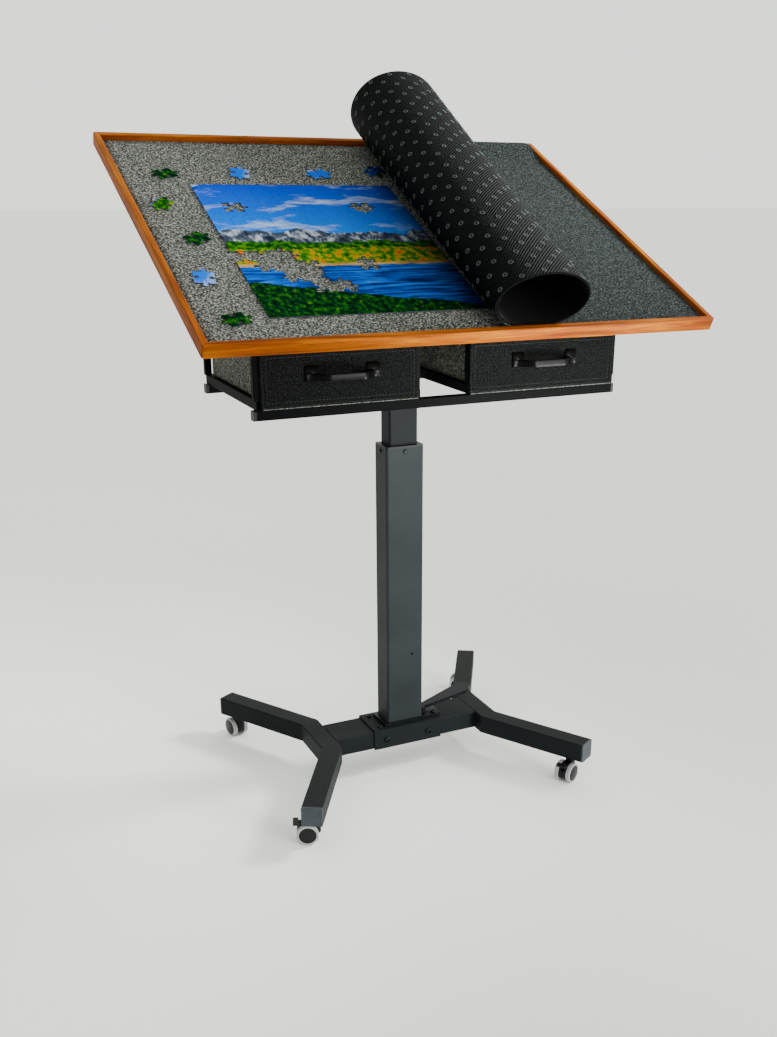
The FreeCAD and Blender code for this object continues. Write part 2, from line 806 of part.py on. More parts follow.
def top_frame():
    """Front and back rails along X, with four rails along Y between them."""
    rails = []
    for y in (rack_front, rack_back - top_rail_size):
        rails.append(tube(
            -rack_half_width, rack_half_width, y, y + top_rail_size, top_frame_bottom,
            top_frame_top, "X", rail_wall, rail_edge_radius))
    for x0, x1 in bay_sides(top_rail_size):
        rails.append(tube(
            x0, x1, rack_front + top_rail_size, rack_back - top_rail_size, top_frame_bottom,
            top_frame_top, "Y", rail_wall, 0))
    return Part.makeCompound(rails).cut(head_screw_holes())


def head_screw_places():
    left = left_bay_inner - top_rail_size / 2
    right = right_bay_inner + top_rail_size / 2
    return [(x, y) for x in (left, right) for y in (-head_screw_y, head_screw_y)]


def head_screw_holes():
    radius = head_screw_shank + bolt_hole_clearance
    low = head_plate_bottom - 1
    return Part.makeCompound([
        rod(x, y, low, radius, head_plate_thickness + rail_wall + 2) for x, y in head_screw_places()])


def head_plate():
    plate = block(
        -head_plate_half_width, head_plate_half_width, -head_plate_half_depth,
        head_plate_half_depth, head_plate_bottom, top_frame_bottom)
    return plate.cut(head_screw_holes())


def head_screws():
    screws = []
    length = head_plate_thickness + rail_wall + head_screw_head
    for x, y in head_screw_places():
        head = rod(x, y, head_plate_bottom - head_screw_head, head_screw_radius, head_screw_head)
        shank = rod(x, y, head_plate_bottom, head_screw_shank, length)
        screws.append(fused([head, shank]))
    return Part.makeCompound(screws)


def rest_bumpers():
    """Rubber feet on the back rail that the board lies on when it is level."""
    height = board_bottom - top_frame_top - bumper_gap
    y = rack_back - top_rail_size / 2
    return Part.makeCompound([
        rod(side * bumper_x, y, top_frame_top, bumper_radius, height) for side in (-1, 1)])


# ---- Hinges and stays ----------------------------------------------------------------------------
def knuckle_spans(centre):
    """(start, length) along X of a hinge's outer knuckles and of its middle knuckle."""
    start = centre - hinge_half_length
    outer = [(start, hinge_knuckle), (start + 2 * hinge_half_length - hinge_knuckle, hinge_knuckle)]
    middle = 2 * (hinge_half_length - hinge_knuckle - hinge_knuckle_gap)
    return outer, [(start + hinge_knuckle + hinge_knuckle_gap, middle)]


def hinge_half(centre, plate, own, other):
    """A leaf with its own knuckles, cut clear of the other leaf's knuckles."""
    barrels = [rod(x, hinge_y, hinge_z, hinge_knuckle_radius, l, (1, 0, 0)) for x, l in own]
    gap = hinge_knuckle_gap
    clear = [
        rod(x - gap, hinge_y, hinge_z, hinge_knuckle_radius + gap, l + 2 * gap, (1, 0, 0))
        for x, l in other]
    solid = fused([plate.cut(Part.makeCompound(clear))] + barrels)
    bore = rod(
        centre - hinge_half_length - 1, hinge_y, hinge_z, hinge_pin_radius + running_clearance,
        2 * hinge_half_length + 2, (1, 0, 0))
    return solid.cut(bore)


def hinge_leaves_lower():
    """Leaves on the front rail, each with its pin."""
    pieces = []
    for centre in hinge_centres:
        outer, middle = knuckle_spans(centre)
        low, high = centre - hinge_half_length, centre + hinge_half_length
        plate = block(
            low, high, hinge_y, rack_front + top_rail_size, top_frame_top,
            top_frame_top + hinge_leaf)
        pieces.append(hinge_half(centre, plate, outer, middle))
        pieces.append(rod(low, hinge_y, hinge_z, hinge_pin_radius, high - low, (1, 0, 0)))
    return Part.makeCompound(pieces)


def hinge_leaves_upper():
    """Leaves under the board."""
    pieces = []
    for centre in hinge_centres:
        outer, middle = knuckle_spans(centre)
        plate = block(
            centre - hinge_half_length, centre + hinge_half_length, hinge_y,
            hinge_y + upper_leaf_depth, board_bottom - hinge_leaf, board_bottom)
        pieces.append(hinge_half(centre, plate, middle, outer))
    return tilted(Part.makeCompound(pieces))


def stay_points():
    """Board pivot and foot of the stay at rest, as (y, z)."""
    pivot = hinge_point(stay_radius, rest_tilt - stay_slope)
    foot_radius = 2 * stay_radius * math.cos(math.radians(rest_tilt))
    return pivot, hinge_point(foot_radius, -stay_slope)


def link(x0, x1, start, end, width):
    """A flat bar with round ends between two (y, z) points, from x0 to x1."""
    ends = [rod(x0, p[0], p[1], width / 2, x1 - x0, (1, 0, 0)) for p in (start, end)]
    length = math.dist(start, end)
    middle = block(x0, x1, 0, length, -width / 2, width / 2)
    angle = math.degrees(math.atan2(end[1] - start[1], end[0] - start[0]))
    middle.rotate(Vector(0, 0, 0), Vector(1, 0, 0), angle)
    middle.translate(Vector(0, start[0], start[1]))
    return fused(ends + [middle])


def stay():
    """The right stay: a bar, and the bolt in its foot that runs in the guide's slot."""
    pivot, foot = stay_points()
    strap = link(stay_inner_x, stay_outer_x, pivot, foot, stay_width)
    for y, z in (pivot, foot):
        hole = rod(stay_inner_x - 1, y, z, stay_pin_radius + stay_bore_clearance,
                   stay_thickness + 2, (1, 0, 0))
        strap = strap.cut(hole)
    tip = knob_face_x - knob_length + foot_bolt_head
    head_start = frame_inner_x + foot_bolt_gap
    y, z = foot
    shank = rod(tip, y, z, stay_pin_radius, head_start - tip, (1, 0, 0))
    head = rod(head_start, y, z, foot_bolt_head_radius, foot_bolt_head, (1, 0, 0))
    return Part.makeCompound([strap, fused([shank, head])])


def stay_knob():
    """The right knob: a fluted grip on the foot bolt's inner end."""
    _, (y, z) = stay_points()
    start = knob_face_x - knob_length
    grip = rod(start, y, z, knob_radius, knob_length, (1, 0, 0))
    flutes = []
    for i in range(knob_lobes):
        angle = 2 * math.pi * i / knob_lobes
        reach = knob_radius + knob_flute_radius / 2
        flutes.append(rod(
            start - 1, y + reach * math.cos(angle), z + reach * math.sin(angle),
            knob_flute_radius, knob_length + 2, (1, 0, 0)))
    bore_start = start + foot_bolt_head - running_clearance
    bore = rod(bore_start, y, z, stay_pin_radius + stay_bore_clearance, knob_length, (1, 0, 0))
    return grip.cut(Part.makeCompound(flutes)).cut(bore)


def slot_guides():
    """Plates inside the side rails, with the sloping slot that the stays' feet run in."""
    _, foot = stay_points()
    level = hinge_point(2 * stay_radius, -stay_slope)
    plate = block(
        frame_inner_x - guide_thickness, frame_inner_x, guide_front, guide_back,
        top_frame_top - guide_top_drop - guide_height, top_frame_top - guide_top_drop)
    slot = link(
        frame_inner_x - guide_thickness - 1, frame_inner_x + 1, foot, level,
        2 * (stay_pin_radius + slot_clearance))
    right = plate.cut(slot)
    return Part.makeCompound([mirrored(right), right])


def stay_brackets():
    """Angle brackets under the board with the pins that the stays turn on."""
    y, z = hinge_point(stay_radius, -stay_slope)
    base = block(
        ear_inner_x - ear_base_depth, ear_outer_x, y - ear_half_width, y + ear_half_width,
        board_bottom - hinge_leaf, board_bottom)
    ear = block(ear_inner_x, ear_outer_x, y - ear_half_width, y + ear_half_width, z, board_bottom)
    nose = rod(ear_inner_x, y, z, ear_half_width, stay_thickness, (1, 0, 0))
    end = stay_outer_x + stay_pin_proud
    hole = rod(ear_inner_x - 1, y, z, stay_pin_radius + stay_bore_clearance, stay_thickness + 2,
               (1, 0, 0))
    bracket = fused([base, ear, nose]).cut(hole)
    head = rod(ear_inner_x - stay_pin_head, y, z, stay_pin_head_radius, stay_pin_head, (1, 0, 0))
    shank = rod(ear_inner_x, y, z, stay_pin_radius, end - ear_inner_x, (1, 0, 0))
    right = Part.makeCompound([bracket, fused([head, shank])])
    return tilted(Part.makeCompound(mirrored(right).Solids + right.Solids))


# ---- Drawers -------------------------------------------------------------------------------------
def drawer_span(name):
    """Low and high X of a drawer box, between its posts."""
    posts = sorted(post_spans()[name])
    return posts[0][1] + drawer_side_gap, posts[1][0] - drawer_side_gap


def drawer_box(name):
    x0, x1 = drawer_span(name)
    y0, y1 = rack_front - front_gap, rack_back - drawer_back_inset
    z0 = rack_top + drawer_rail_gap
    outer = block(x0, x1, y0, y1, z0, drawer_top)
    inner = block(
        x0 + drawer_wall, x1 - drawer_wall, y0 + drawer_wall, y1 - drawer_wall,
        z0 + drawer_floor, drawer_top + 1)
    return outer.cut(inner)


def drawer_front(name):
    x0, x1 = front_spans[name]
    return block(x0, x1, front_face, rack_front - front_gap, rack_mid + front_rail_gap, drawer_top)


def drawer_handle(centre):
    """A strap that bows out from two tabs."""
    half = handle_width / 2
    z = handle_centre_height - handle_strap_drop - handle_height / 2
    inner_half = half - handle_tab_width / 2
    points = [
        Vector(centre - half, front_face, z), Vector(centre, front_face - handle_bow, z),
        Vector(centre + half, front_face, z), Vector(centre + inner_half, front_face, z),
        Vector(centre, front_face - handle_bow + handle_strap, z),
        Vector(centre - inner_half, front_face, z)]
    outline = [
        Part.Arc(*points[:3]).toShape(), Part.makeLine(points[2], points[3]),
        Part.Arc(*points[3:]).toShape(), Part.makeLine(points[5], points[0])]
    parts = [Part.Face(Part.Wire(outline)).extrude(Vector(0, 0, handle_height))]
    for side in (-1, 1):
        end = centre + side * half
        middle = handle_centre_height
        parts.append(block(
            end, end - side * handle_tab_width, front_face - handle_tab_thickness, front_face,
            middle - handle_tab_height / 2, middle + handle_tab_height / 2))
    return fused(parts)


# ---- Board, mat and puzzle -----------------------------------------------------------------------
def board_slab(inset, low, high):
    """A slab of the level board, inset from its outline, between two heights below the rim's top."""
    return block(
        inset - board_width / 2, board_width / 2 - inset, on_board(inset),
        on_board(board_depth - inset), board_top + low, board_top + high)


def board_panel():
    return tilted(board_slab(rim_width, -rim_height, -felt_recess - felt_thickness))


def board_felt():
    return tilted(board_slab(rim_width, -felt_recess - felt_thickness, -felt_recess))


def board_rim():
    """Four mitred hardwood strips round the panel."""
    ring = bar(
        -board_width / 2, board_width / 2, on_board(0), on_board(board_depth), board_bottom,
        board_top, "Z", rim_corner_radius)
    outer_edges = [e for e in ring.Edges if round(e.BoundBox.ZMin - board_top) == 0]
    ring = ring.makeFillet(rim_edge_radius, outer_edges)
    ring = ring.cut(board_slab(rim_width, -rim_height - 1, 1))
    half_x = board_width / 2
    half_y = board_depth / 2
    middle = on_board(half_y)
    corner = half_y + 1
    low = board_bottom - 1
    height = rim_height + 2
    reach = half_x - half_y
    front = [(-half_x - 1, middle - corner, low), (-reach, middle, low), (reach, middle, low),
             (half_x + 1, middle - corner, low)]
    back = [(x, 2 * middle - y, z) for x, y, z in front]
    left = [
        (-half_x - 1, middle - corner, low), (-reach, middle, low),
        (-half_x - 1, middle + corner, low)]
    right = [(-x, y, z) for x, y, z in left]
    prisms = [polygon_prism(outline, (0, 0, height)) for outline in (front, back, left, right)]
    return tilted(Part.makeCompound([ring.common(prism).Solids[0] for prism in prisms]))


def ellipse_wire(x, run, half_width, height, inset):
    """An ellipse across the board whose lowest point, before the inset, lies just over the felt."""
    half_height = height / 2
    centre = Vector(x, on_board(run), felt_level + roll_felt_gap + half_height)
    big, small = half_width - inset, half_height - inset
    curve = Part.Ellipse(centre + Vector(big, 0, 0), centre + Vector(0, 0, small), centre)
    return Part.Wire(curve.toShape())


def cover_mat():
    """A felt cover sheet: flat on the right, over the back rim, and rolled up at its left."""
    along = roll_back - mat_front
    front_x = mat_left + roll_front_shift
    grow_x = (roll_back_shift - roll_front_shift) / along
    grow_w = (roll_back_half_width - roll_front_half_width) / along
    grow_h = (roll_back_height - roll_front_height) / along

    def cone(inset, extra):
        wires = []
        for run in (mat_front - extra, roll_back + extra):
            step = run - mat_front
            wires.append(ellipse_wire(
                front_x + grow_x * step, run, roll_front_half_width + grow_w * step,
                roll_front_height + grow_h * step, inset))
        return Part.makeLoft(wires, True, True)

    shell = cone(0, 0).cut(cone(mat_thickness, 1))
    top = felt_level + mat_thickness
    ramp_start = rim_inside - mat_ramp_run
    ramp_end = rim_inside - mat_thickness
    mat_back = board_depth + mat_overhang
    flap_left = mat_left + mat_flap_inset
    flat = block(mat_left, mat_right, on_board(mat_front), on_board(ramp_start), felt_level, top)
    over = board_top + mat_rim_gap
    profile = [
        (ramp_start, felt_level), (ramp_end, over), (mat_back, over),
        (mat_back, over + mat_thickness), (ramp_end, over + mat_thickness), (ramp_start, top)]
    flap = polygon_prism(
        [(flap_left, on_board(run), z) for run, z in profile], (mat_right - flap_left, 0, 0))
    return tilted(fused([flat, flap, shell]))


def puzzle_sheet():
    return tilted(block(
        puzzle_left, puzzle_right, on_board(puzzle_front), on_board(puzzle_front + puzzle_depth),
        felt_level, felt_level + puzzle_thickness))


def jigsaw_piece():
    """One card piece: a square with a knob on two opposite sides and a socket in the other two."""
    half = piece_side / 2
    body = [block(-half, half, -half, half, 0, puzzle_thickness)]
    sockets = []
    for side in (-1, 1):
        knob_x = side * (half + piece_knob_reach)
        socket_y = side * (half - piece_knob_reach)
        body.append(rod(knob_x, 0, 0, piece_knob_radius, puzzle_thickness))
        sockets.append(rod(0, socket_y, -1, piece_knob_radius, puzzle_thickness + 2))
    return fused(body).cut(Part.makeCompound(sockets))


def loose_pieces():
    pieces = []
    for share_x, past_x, share_y, past_y, turn in loose_places:
        x = puzzle_left + share_x * (puzzle_right - puzzle_left) + past_x
        run = puzzle_front + share_y * puzzle_depth + past_y
        pieces.append(moved(jigsaw_piece(), x, on_board(run), felt_level, turn))
    return tilted(Part.makeCompound(pieces))


# ---- Casters -------------------------------------------------------------------------------------
# A caster is built with its stem's axis on Z and its axle on the +X side, then turned and moved.
def caster_housing(braked):
    """Moulded fork between the wheels with its axle. A braked one is slotted for the lever."""
    half = wheel_gap / 2 - fork_side_clearance
    top = caster_height - fork_top_clearance
    over_wheels = 2 * wheel_radius + fork_side_clearance
    web = rod(caster_trail, -half, wheel_radius, fork_web_radius, 2 * half, (0, 1, 0))
    web = trimmed(web, (0, 0, fork_bottom_height), (0, 0, -1))
    neck = block(0, caster_trail, -half, half, wheel_radius, over_wheels)
    boss = rod(0, 0, wheel_radius, fork_boss_radius, top - wheel_radius)
    slim = block(-BIG, BIG, half, BIG, 0, over_wheels)
    boss = boss.cut(slim).cut(slim.mirror(Vector(0, 0, 0), Vector(0, 1, 0)))
    solid = fused([web, neck, boss])
    stem_bore = rod(0, 0, stem_bottom - stem_end_gap, stem_radius + 2 * running_clearance,
                    caster_height)
    axle_bore = rod(
        caster_trail, -half - 1, wheel_radius, axle_radius + press_clearance, 2 * half + 2, (0, 1, 0))
    solid = solid.cut(stem_bore).cut(axle_bore)
    length = wheel_gap / 2 + wheel_width - axle_end_wall
    axle = rod(caster_trail, -length, wheel_radius, axle_radius, 2 * length, (0, 1, 0))
    pieces = [axle]
    if braked:
        slot_half = brake_arm_width / 2 + brake_slot_clearance
        slot = block(
            brake_pivot_run - brake_slot_start, BIG, -slot_half, slot_half,
            brake_pivot_height - brake_slot_floor, caster_height)
        bore = rod(
            brake_pivot_run, -half - 1, brake_pivot_height, brake_pivot_radius + press_clearance,
            2 * half + 2, (0, 1, 0))
        solid = solid.cut(slot).cut(bore)
        pieces.append(rod(
            brake_pivot_run, -half, brake_pivot_height, brake_pivot_radius, 2 * half, (0, 1, 0)))
    return Part.makeCompound([solid] + pieces)


def wheel_pair(outer_wheel):
    """Both wheels of a pair, from the piece on the +Y side with its inner face on the XZ plane."""
    wheels = []
    for side in (-1, 1):
        wheel = outer_wheel.copy()
        if side < 0:
            wheel.rotate(Vector(0, 0, 0), Vector(0, 0, 1), 180)
        wheel.translate(Vector(caster_trail, side * wheel_gap / 2, wheel_radius))
        wheels.append(wheel)
    return Part.makeCompound(wheels)


def caster_hubs():
    """Domed hub caps that run on the axle in a blind bore."""
    edge = wheel_radius - tread_thickness
    dome_radius = (edge ** 2 + hub_dome_rise ** 2) / (2 * hub_dome_rise)
    drum = rod(0, 0, 0, edge, wheel_width, (0, 1, 0))
    dome = Part.makeSphere(dome_radius, Vector(0, wheel_width - dome_radius, 0))
    depth = wheel_width - axle_end_wall + running_clearance
    bore = rod(0, -1, 0, axle_radius + running_clearance, depth + 1, (0, 1, 0))
    return wheel_pair(drum.common(dome).cut(bore))


def caster_treads():
    """Rings round the hubs, a little narrower than the domes."""
    wide = wheel_width - tread_side_step
    ring = rod(0, 0, 0, wheel_radius, wide, (0, 1, 0))
    ring = ring.makeFillet(tread_edge_radius, [e for e in ring.Edges if len(e.Vertexes) == 1])
    inside = wheel_radius - tread_thickness + running_clearance
    return wheel_pair(ring.cut(rod(0, -1, 0, inside, wheel_width + 2, (0, 1, 0))))


def brake_lever():
    """A lever with a toe tab behind the wheels, pivoted in the housing's slot."""
    half = brake_arm_width / 2
    heel_low = brake_pivot_height - brake_heel_drop
    heel_start = brake_pivot_run - brake_heel_run
    neck = brake_pad_start - brake_neck_run
    outline = [
        (heel_start, heel_low), (heel_start, brake_pivot_height + brake_heel_rise),
        (neck, brake_pad_top), (brake_pad_end, brake_pad_top), (brake_pad_end, brake_pad_bottom),
        (neck, brake_pad_bottom - brake_neck_drop), (brake_pivot_run + brake_heel_run, heel_low)]
    arm = polygon_prism([(x, -half, z) for x, z in outline], (0, 2 * half, 0))
    pad = bar(
        brake_pad_start, brake_pad_end, -brake_pad_width / 2, brake_pad_width / 2,
        brake_pad_bottom, brake_pad_top, "Z", brake_pad_corner)
    bore = rod(
        brake_pivot_run, -BIG / 2, brake_pivot_height, brake_pivot_radius + running_clearance, BIG,
        (0, 1, 0))
    return fused([arm, pad]).cut(bore)


def add_casters():
    for name, angle in caster_angles.items():
        side, end = corner_signs(name)
        x, y = leg_point(side, end, leg_length - stem_inset)
        braked = name in brake_casters
        pieces = {
            "caster_housing_" + name: caster_housing(braked),
            "caster_hubs_" + name: caster_hubs(),
            "caster_treads_" + name: caster_treads()}
        if braked:
            pieces["brake_lever_" + name] = brake_lever()
        for node, shape in pieces.items():
            NODES[node] = moved(shape, x, y, 0, angle)


# ---- All nodes -----------------------------------------------------------------------------------
NODES["left_yoke"] = yoke(-1)
NODES["right_yoke"] = yoke(1)
for builder in (
        leg_end_caps, caster_stems, base_beam, centre_bracket, column_base_plate, base_fasteners,
        outer_column, column_collar, inner_column, column_shoe, rod_anchor, gas_rod, gas_cylinder,
        release_pin, foot_pedal, pedal_bracket, long_rails, rail_end_caps, cross_rails, rack_posts,
        top_frame, head_plate, head_screws, rest_bumpers, hinge_leaves_lower, hinge_leaves_upper,
        slot_guides, stay_brackets, board_panel, board_felt, board_rim, cover_mat, puzzle_sheet,
        loose_pieces):
    NODES[builder.__name__] = builder()
for name, handle_x in (("left", left_handle_x), ("right", right_handle_x)):
    NODES[name + "_drawer_box"] = drawer_box(name)
    NODES[name + "_drawer_front"] = drawer_front(name)
    NODES[name + "_drawer_handle"] = drawer_handle(handle_x)
NODES["right_stay"] = stay()
NODES["left_stay"] = mirrored(NODES["right_stay"])
NODES["right_stay_knob"] = stay_knob()
NODES["left_stay_knob"] = mirrored(NODES["right_stay_knob"])
add_casters()

os.makedirs("parts", exist_ok=True)
for node, shape in sorted(NODES.items()):
    shape.exportStep("parts/" + node + ".step")
    volume = sum(s.Volume for s in shape.Solids) / 1000
    print(f"{node}: {len(shape.Solids)} solids, {volume:.1f} cm3, valid {shape.isValid()}")
print(len(NODES), "nodes")
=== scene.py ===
# %% [markdown]
# # A jigsaw puzzle table with drawers
# The steel and plastic parts come ready made from the CAD frame and only need their finishes. The wood rim,
# the felt, the rolled cover mat, the puzzle and the drawers are made here, because their soft edges, seams
# and cut lines are what the eye reads first. A piece's lengths are in millimetres and are turned to metres
# when its mesh is made; finishes, lights and the camera are in metres.

# %% Load the frame
import json
import math

import bmesh
import bpy
import numpy as np
from mathutils import Matrix, Vector


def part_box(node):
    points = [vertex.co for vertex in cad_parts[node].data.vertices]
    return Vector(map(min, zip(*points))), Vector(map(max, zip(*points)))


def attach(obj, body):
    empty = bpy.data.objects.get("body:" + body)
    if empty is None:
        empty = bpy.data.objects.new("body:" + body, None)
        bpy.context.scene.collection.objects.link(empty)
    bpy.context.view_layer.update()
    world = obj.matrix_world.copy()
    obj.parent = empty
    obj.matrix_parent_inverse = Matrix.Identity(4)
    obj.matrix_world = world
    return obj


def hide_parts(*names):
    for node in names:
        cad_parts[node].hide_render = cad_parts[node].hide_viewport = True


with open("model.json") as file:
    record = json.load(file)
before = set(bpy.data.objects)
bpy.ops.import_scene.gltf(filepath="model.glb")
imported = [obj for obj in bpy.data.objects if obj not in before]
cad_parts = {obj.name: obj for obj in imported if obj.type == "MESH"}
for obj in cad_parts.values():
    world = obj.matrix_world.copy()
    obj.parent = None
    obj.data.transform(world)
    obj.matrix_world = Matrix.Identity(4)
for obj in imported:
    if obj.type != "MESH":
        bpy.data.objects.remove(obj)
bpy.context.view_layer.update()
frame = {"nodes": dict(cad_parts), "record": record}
chance = np.random.default_rng(11)

# %% [markdown]
# ## Small tools
# Each new piece is a grid of points. A grid is either open like a cloth, or rings of points joined into a
# closed skin. The faces are worked out once from the grid's size, so no loop runs over single points.

# %% Grids of points to faces
def grid_faces(rows, columns, around=False):
    """Quads over a grid stored row by row; around joins the last column to the first.
    Also gives each face corner's row and its column before joining."""
    i, j = np.meshgrid(np.arange(rows - 1), np.arange(columns - (not around)), indexing="ij")
    row = i.reshape(-1, 1) + np.array([0, 0, 1, 1])
    column = j.reshape(-1, 1) + np.array([0, 1, 1, 0])
    return row * columns + column % columns, row, column


def loft(rings, uv=None):
    """A closed skin over rings of points: quads between neighbouring rings and a flat face at each end.
    uv has one more column than the rings, so that a pattern meets itself only at the seam."""
    rows, columns = rings.shape[:2]
    faces, row, column = grid_faces(rows, columns, around=True)
    ends = [list(range(columns))[::-1], list(range((rows - 1) * columns, rows * columns))]
    corners = None
    if uv is not None:
        corners = np.concatenate([uv[row, column].reshape(-1, 2), uv[0, :columns][::-1], uv[-1, :columns]])
    return rings.reshape(-1, 3), faces.tolist() + ends, corners


def gather(parts):
    """Several skins as one: points one after another, with each skin's faces counted on from the last."""
    points, faces, corners, start = [], [], [], 0
    for part_points, part_faces, part_corners in parts:
        points.append(part_points)
        faces += [[k + start for k in face] for face in part_faces]
        corners.append(part_corners)
        start += len(part_points)
    return np.concatenate(points), faces, None if corners[0] is None else np.concatenate(corners)


def mesh_piece(name, skin, finishes, body, replaced=(), sharp=40, closed=True, finish_index=None):
    """One piece from a skin in millimetres, with its finishes, attached to its CAD body; the CAD nodes it
    replaces are hidden.
    """
    points, faces, corners = skin
    mesh = bpy.data.meshes.new(name)
    mesh.from_pydata((np.reshape(points, (-1, 3)) / 1000).tolist(), [], [list(f) for f in faces])
    if corners is not None:
        mesh.uv_layers.new(name="flat").data.foreach_set("uv", np.ravel(corners) / 1000)
    for finish in finishes:
        mesh.materials.append(finish)
    if finish_index is not None:
        mesh.polygons.foreach_set("material_index", finish_index)
    if closed:
        shell = bmesh.new()
        shell.from_mesh(mesh)
        bmesh.ops.recalc_face_normals(shell, faces=shell.faces)
        shell.to_mesh(mesh)
        shell.free()
    mesh.shade_smooth()
    mesh.set_sharp_from_angle(angle=math.radians(sharp))
    piece = bpy.data.objects.new(name, mesh)
    bpy.context.scene.collection.objects.link(piece)
    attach(piece, body)
    if replaced:
        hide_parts(*replaced)
    print(name, len(points), "points,", len(faces), "faces")
    return piece


def smooth_step(x):
    """0 below 0 and 1 above 1, with a soft start and end between: 3x^2 - 2x^3."""
    x = np.clip(x, 0, 1)
    return x * x * (3 - 2 * x)


def rounded_loop(half_width, half_height, radius, steps=5):
    """A rectangle's outline with round corners, anticlockwise: an arc about each corner's own centre."""
    radius = np.broadcast_to(radius, 4)[:, None]
    angle = np.arange(4)[:, None] * math.pi / 2 + np.linspace(0, math.pi / 2, steps)
    side_x = np.array([1, -1, -1, 1])[:, None]
    side_y = np.array([1, 1, -1, -1])[:, None]
    x = side_x * (half_width - radius) + radius * np.cos(angle)
    y = side_y * (half_height - radius) + radius * np.sin(angle)
    return np.stack([x.ravel(), y.ravel()], -1)


def cad_box_mm(node):
    """Lowest and highest corner of a CAD node in millimetres."""
    return [np.array(corner) * 1000 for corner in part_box(node)]


# %% [markdown]
# The board is tilted 24.4 degrees about a hinge, so its pieces are drawn flat and then laid on it. A place on
# the board is x, the run back from its front edge and the height n above the rim's top.

# %% Lay points on the tilted board
TILT = math.radians(24.4)
HINGE = np.array([-190.0, 937.0])      # the hinge axis' y and z
FRONT_OVERHANG, RIM_TOP = 137.2, 25.9  # from the hinge axis to the board's front edge and to the rim's top
BOARD_WIDTH, BOARD_DEPTH = 900.0, 702.5
RIM_WIDTH, RIM_HEIGHT = 11.0, 21.4
FELT_TOP = -10.0


def on_board(x, run, n):
    """Row-frame points: run and n turned by the tilt about the hinge axis, x as it is."""
    along, up = run - FRONT_OVERHANG, n + RIM_TOP
    y = HINGE[0] + along * math.cos(TILT) - up * math.sin(TILT)
    z = HINGE[1] + along * math.sin(TILT) + up * math.cos(TILT)
    return np.stack(np.broadcast_arrays(x, y, z), -1)


# %% [markdown]
# ## Finishes
# A finish is a Principled shader with a few nodes for what a lens would see: flecks, grain, ribs, wear. The
# nodes read the object's own metres, or a piece's flat map where the pattern follows a bent sheet.

# %% Colour and node helpers
def linear(colour):
    """sRGB hex text to linear light: a straight line near black, a power of 2.4 above it."""
    s = np.array([int(colour[i:i + 2], 16) for i in (1, 3, 5)]) / 255
    return (*np.where(s <= 0.04045, s / 12.92, ((s + 0.055) / 1.055) ** 2.4).tolist(), 1.0)


def add(tree, kind, links=None, values=None, stops=(), **settings):
    """One shader node: its settings, its plain input values, the links into it and a ramp's colour stops."""
    node = tree.nodes.new("ShaderNode" + kind)
    for name, value in settings.items():
        setattr(node, name, value)
    for key, value in (values or {}).items():
        node.inputs[key].default_value = value
    for key, source in (links or {}).items():
        tree.links.new(source, node.inputs[key])
    if stops:
        ramp = node.color_ramp
        ramp.elements[0].position, ramp.elements[1].position = stops[0][0], stops[-1][0]
        for place, _ in stops[1:-1]:
            ramp.elements.new(place)
        for element, (_, colour) in zip(sorted(ramp.elements, key=lambda e: e.position), stops):
            element.color = linear(colour) if isinstance(colour, str) else (colour, colour, colour, 1)
    return node


def new_finish(name, values):
    """A material of one Principled shader with its uniform values on its own sockets."""
    material = bpy.data.materials.new(name)
    material.use_nodes = True
    tree = material.node_tree
    shader = tree.nodes["Principled BSDF"]
    for key, value in values.items():
        shader.inputs[key].default_value = value
    return material, tree, shader


def join(tree, shader, **outputs):
    """Links node outputs to the shader's sockets; an underscore in a name stands for a space."""
    for key, source in outputs.items():
        tree.links.new(source, shader.inputs[key.replace("_", " ")])


# %% [markdown]
# The column, base and rack are steel under baked powder. The powder melts into a satin skin that is never
# quite even, so one flat grey would look like paper. A fine noise gives the orange peel to the gloss, the
# bump and, weakly, the colour.

# %% Powder coats
def powder_coat(name, shade, colour, specular):
    """Polyester powder baked on steel: satin, two close tones, with an orange peel about 1.5 mm across."""
    finish, tree, shader = new_finish(name, {"IOR": 1.5, "Specular IOR Level": specular})
    place = add(tree, "TexCoord").outputs["Object"]
    peel = add(tree, "TexNoise", {"Vector": place}, {"Scale": 650, "Detail": 3, "Roughness": 0.6})
    cloud = add(tree, "TexNoise", {"Vector": place}, {"Scale": 9, "Detail": 2})
    tone = add(tree, "ValToRGB", {"Fac": cloud.outputs[0]}, stops=[(0.3, shade), (0.7, colour)])
    grit = add(tree, "ValToRGB", {"Fac": peel.outputs[0]}, stops=[(0.35, 0.82), (0.7, 1.0)])
    mixed = add(tree, "MixRGB", {"Color1": tone.outputs[0], "Color2": grit.outputs[0]}, {"Fac": 1.0},
                blend_type="MULTIPLY")
    gloss = add(tree, "MapRange", {"Value": peel.outputs[0]}, {"To Min": 0.48, "To Max": 0.6})
    bump = add(tree, "Bump", {"Height": peel.outputs[0]}, {"Strength": 0.25, "Distance": 0.0002})
    join(tree, shader, Base_Color=mixed.outputs[0], Roughness=gloss.outputs[0], Normal=bump.outputs[0])
    return finish


# %% [markdown]
# Screws, hinge leaves and the gas spring's rod are plated, blackened or chromed steel. A metal's colour is
# the colour of its reflections, so the shader is fully metallic and mainly its gloss is broken up.

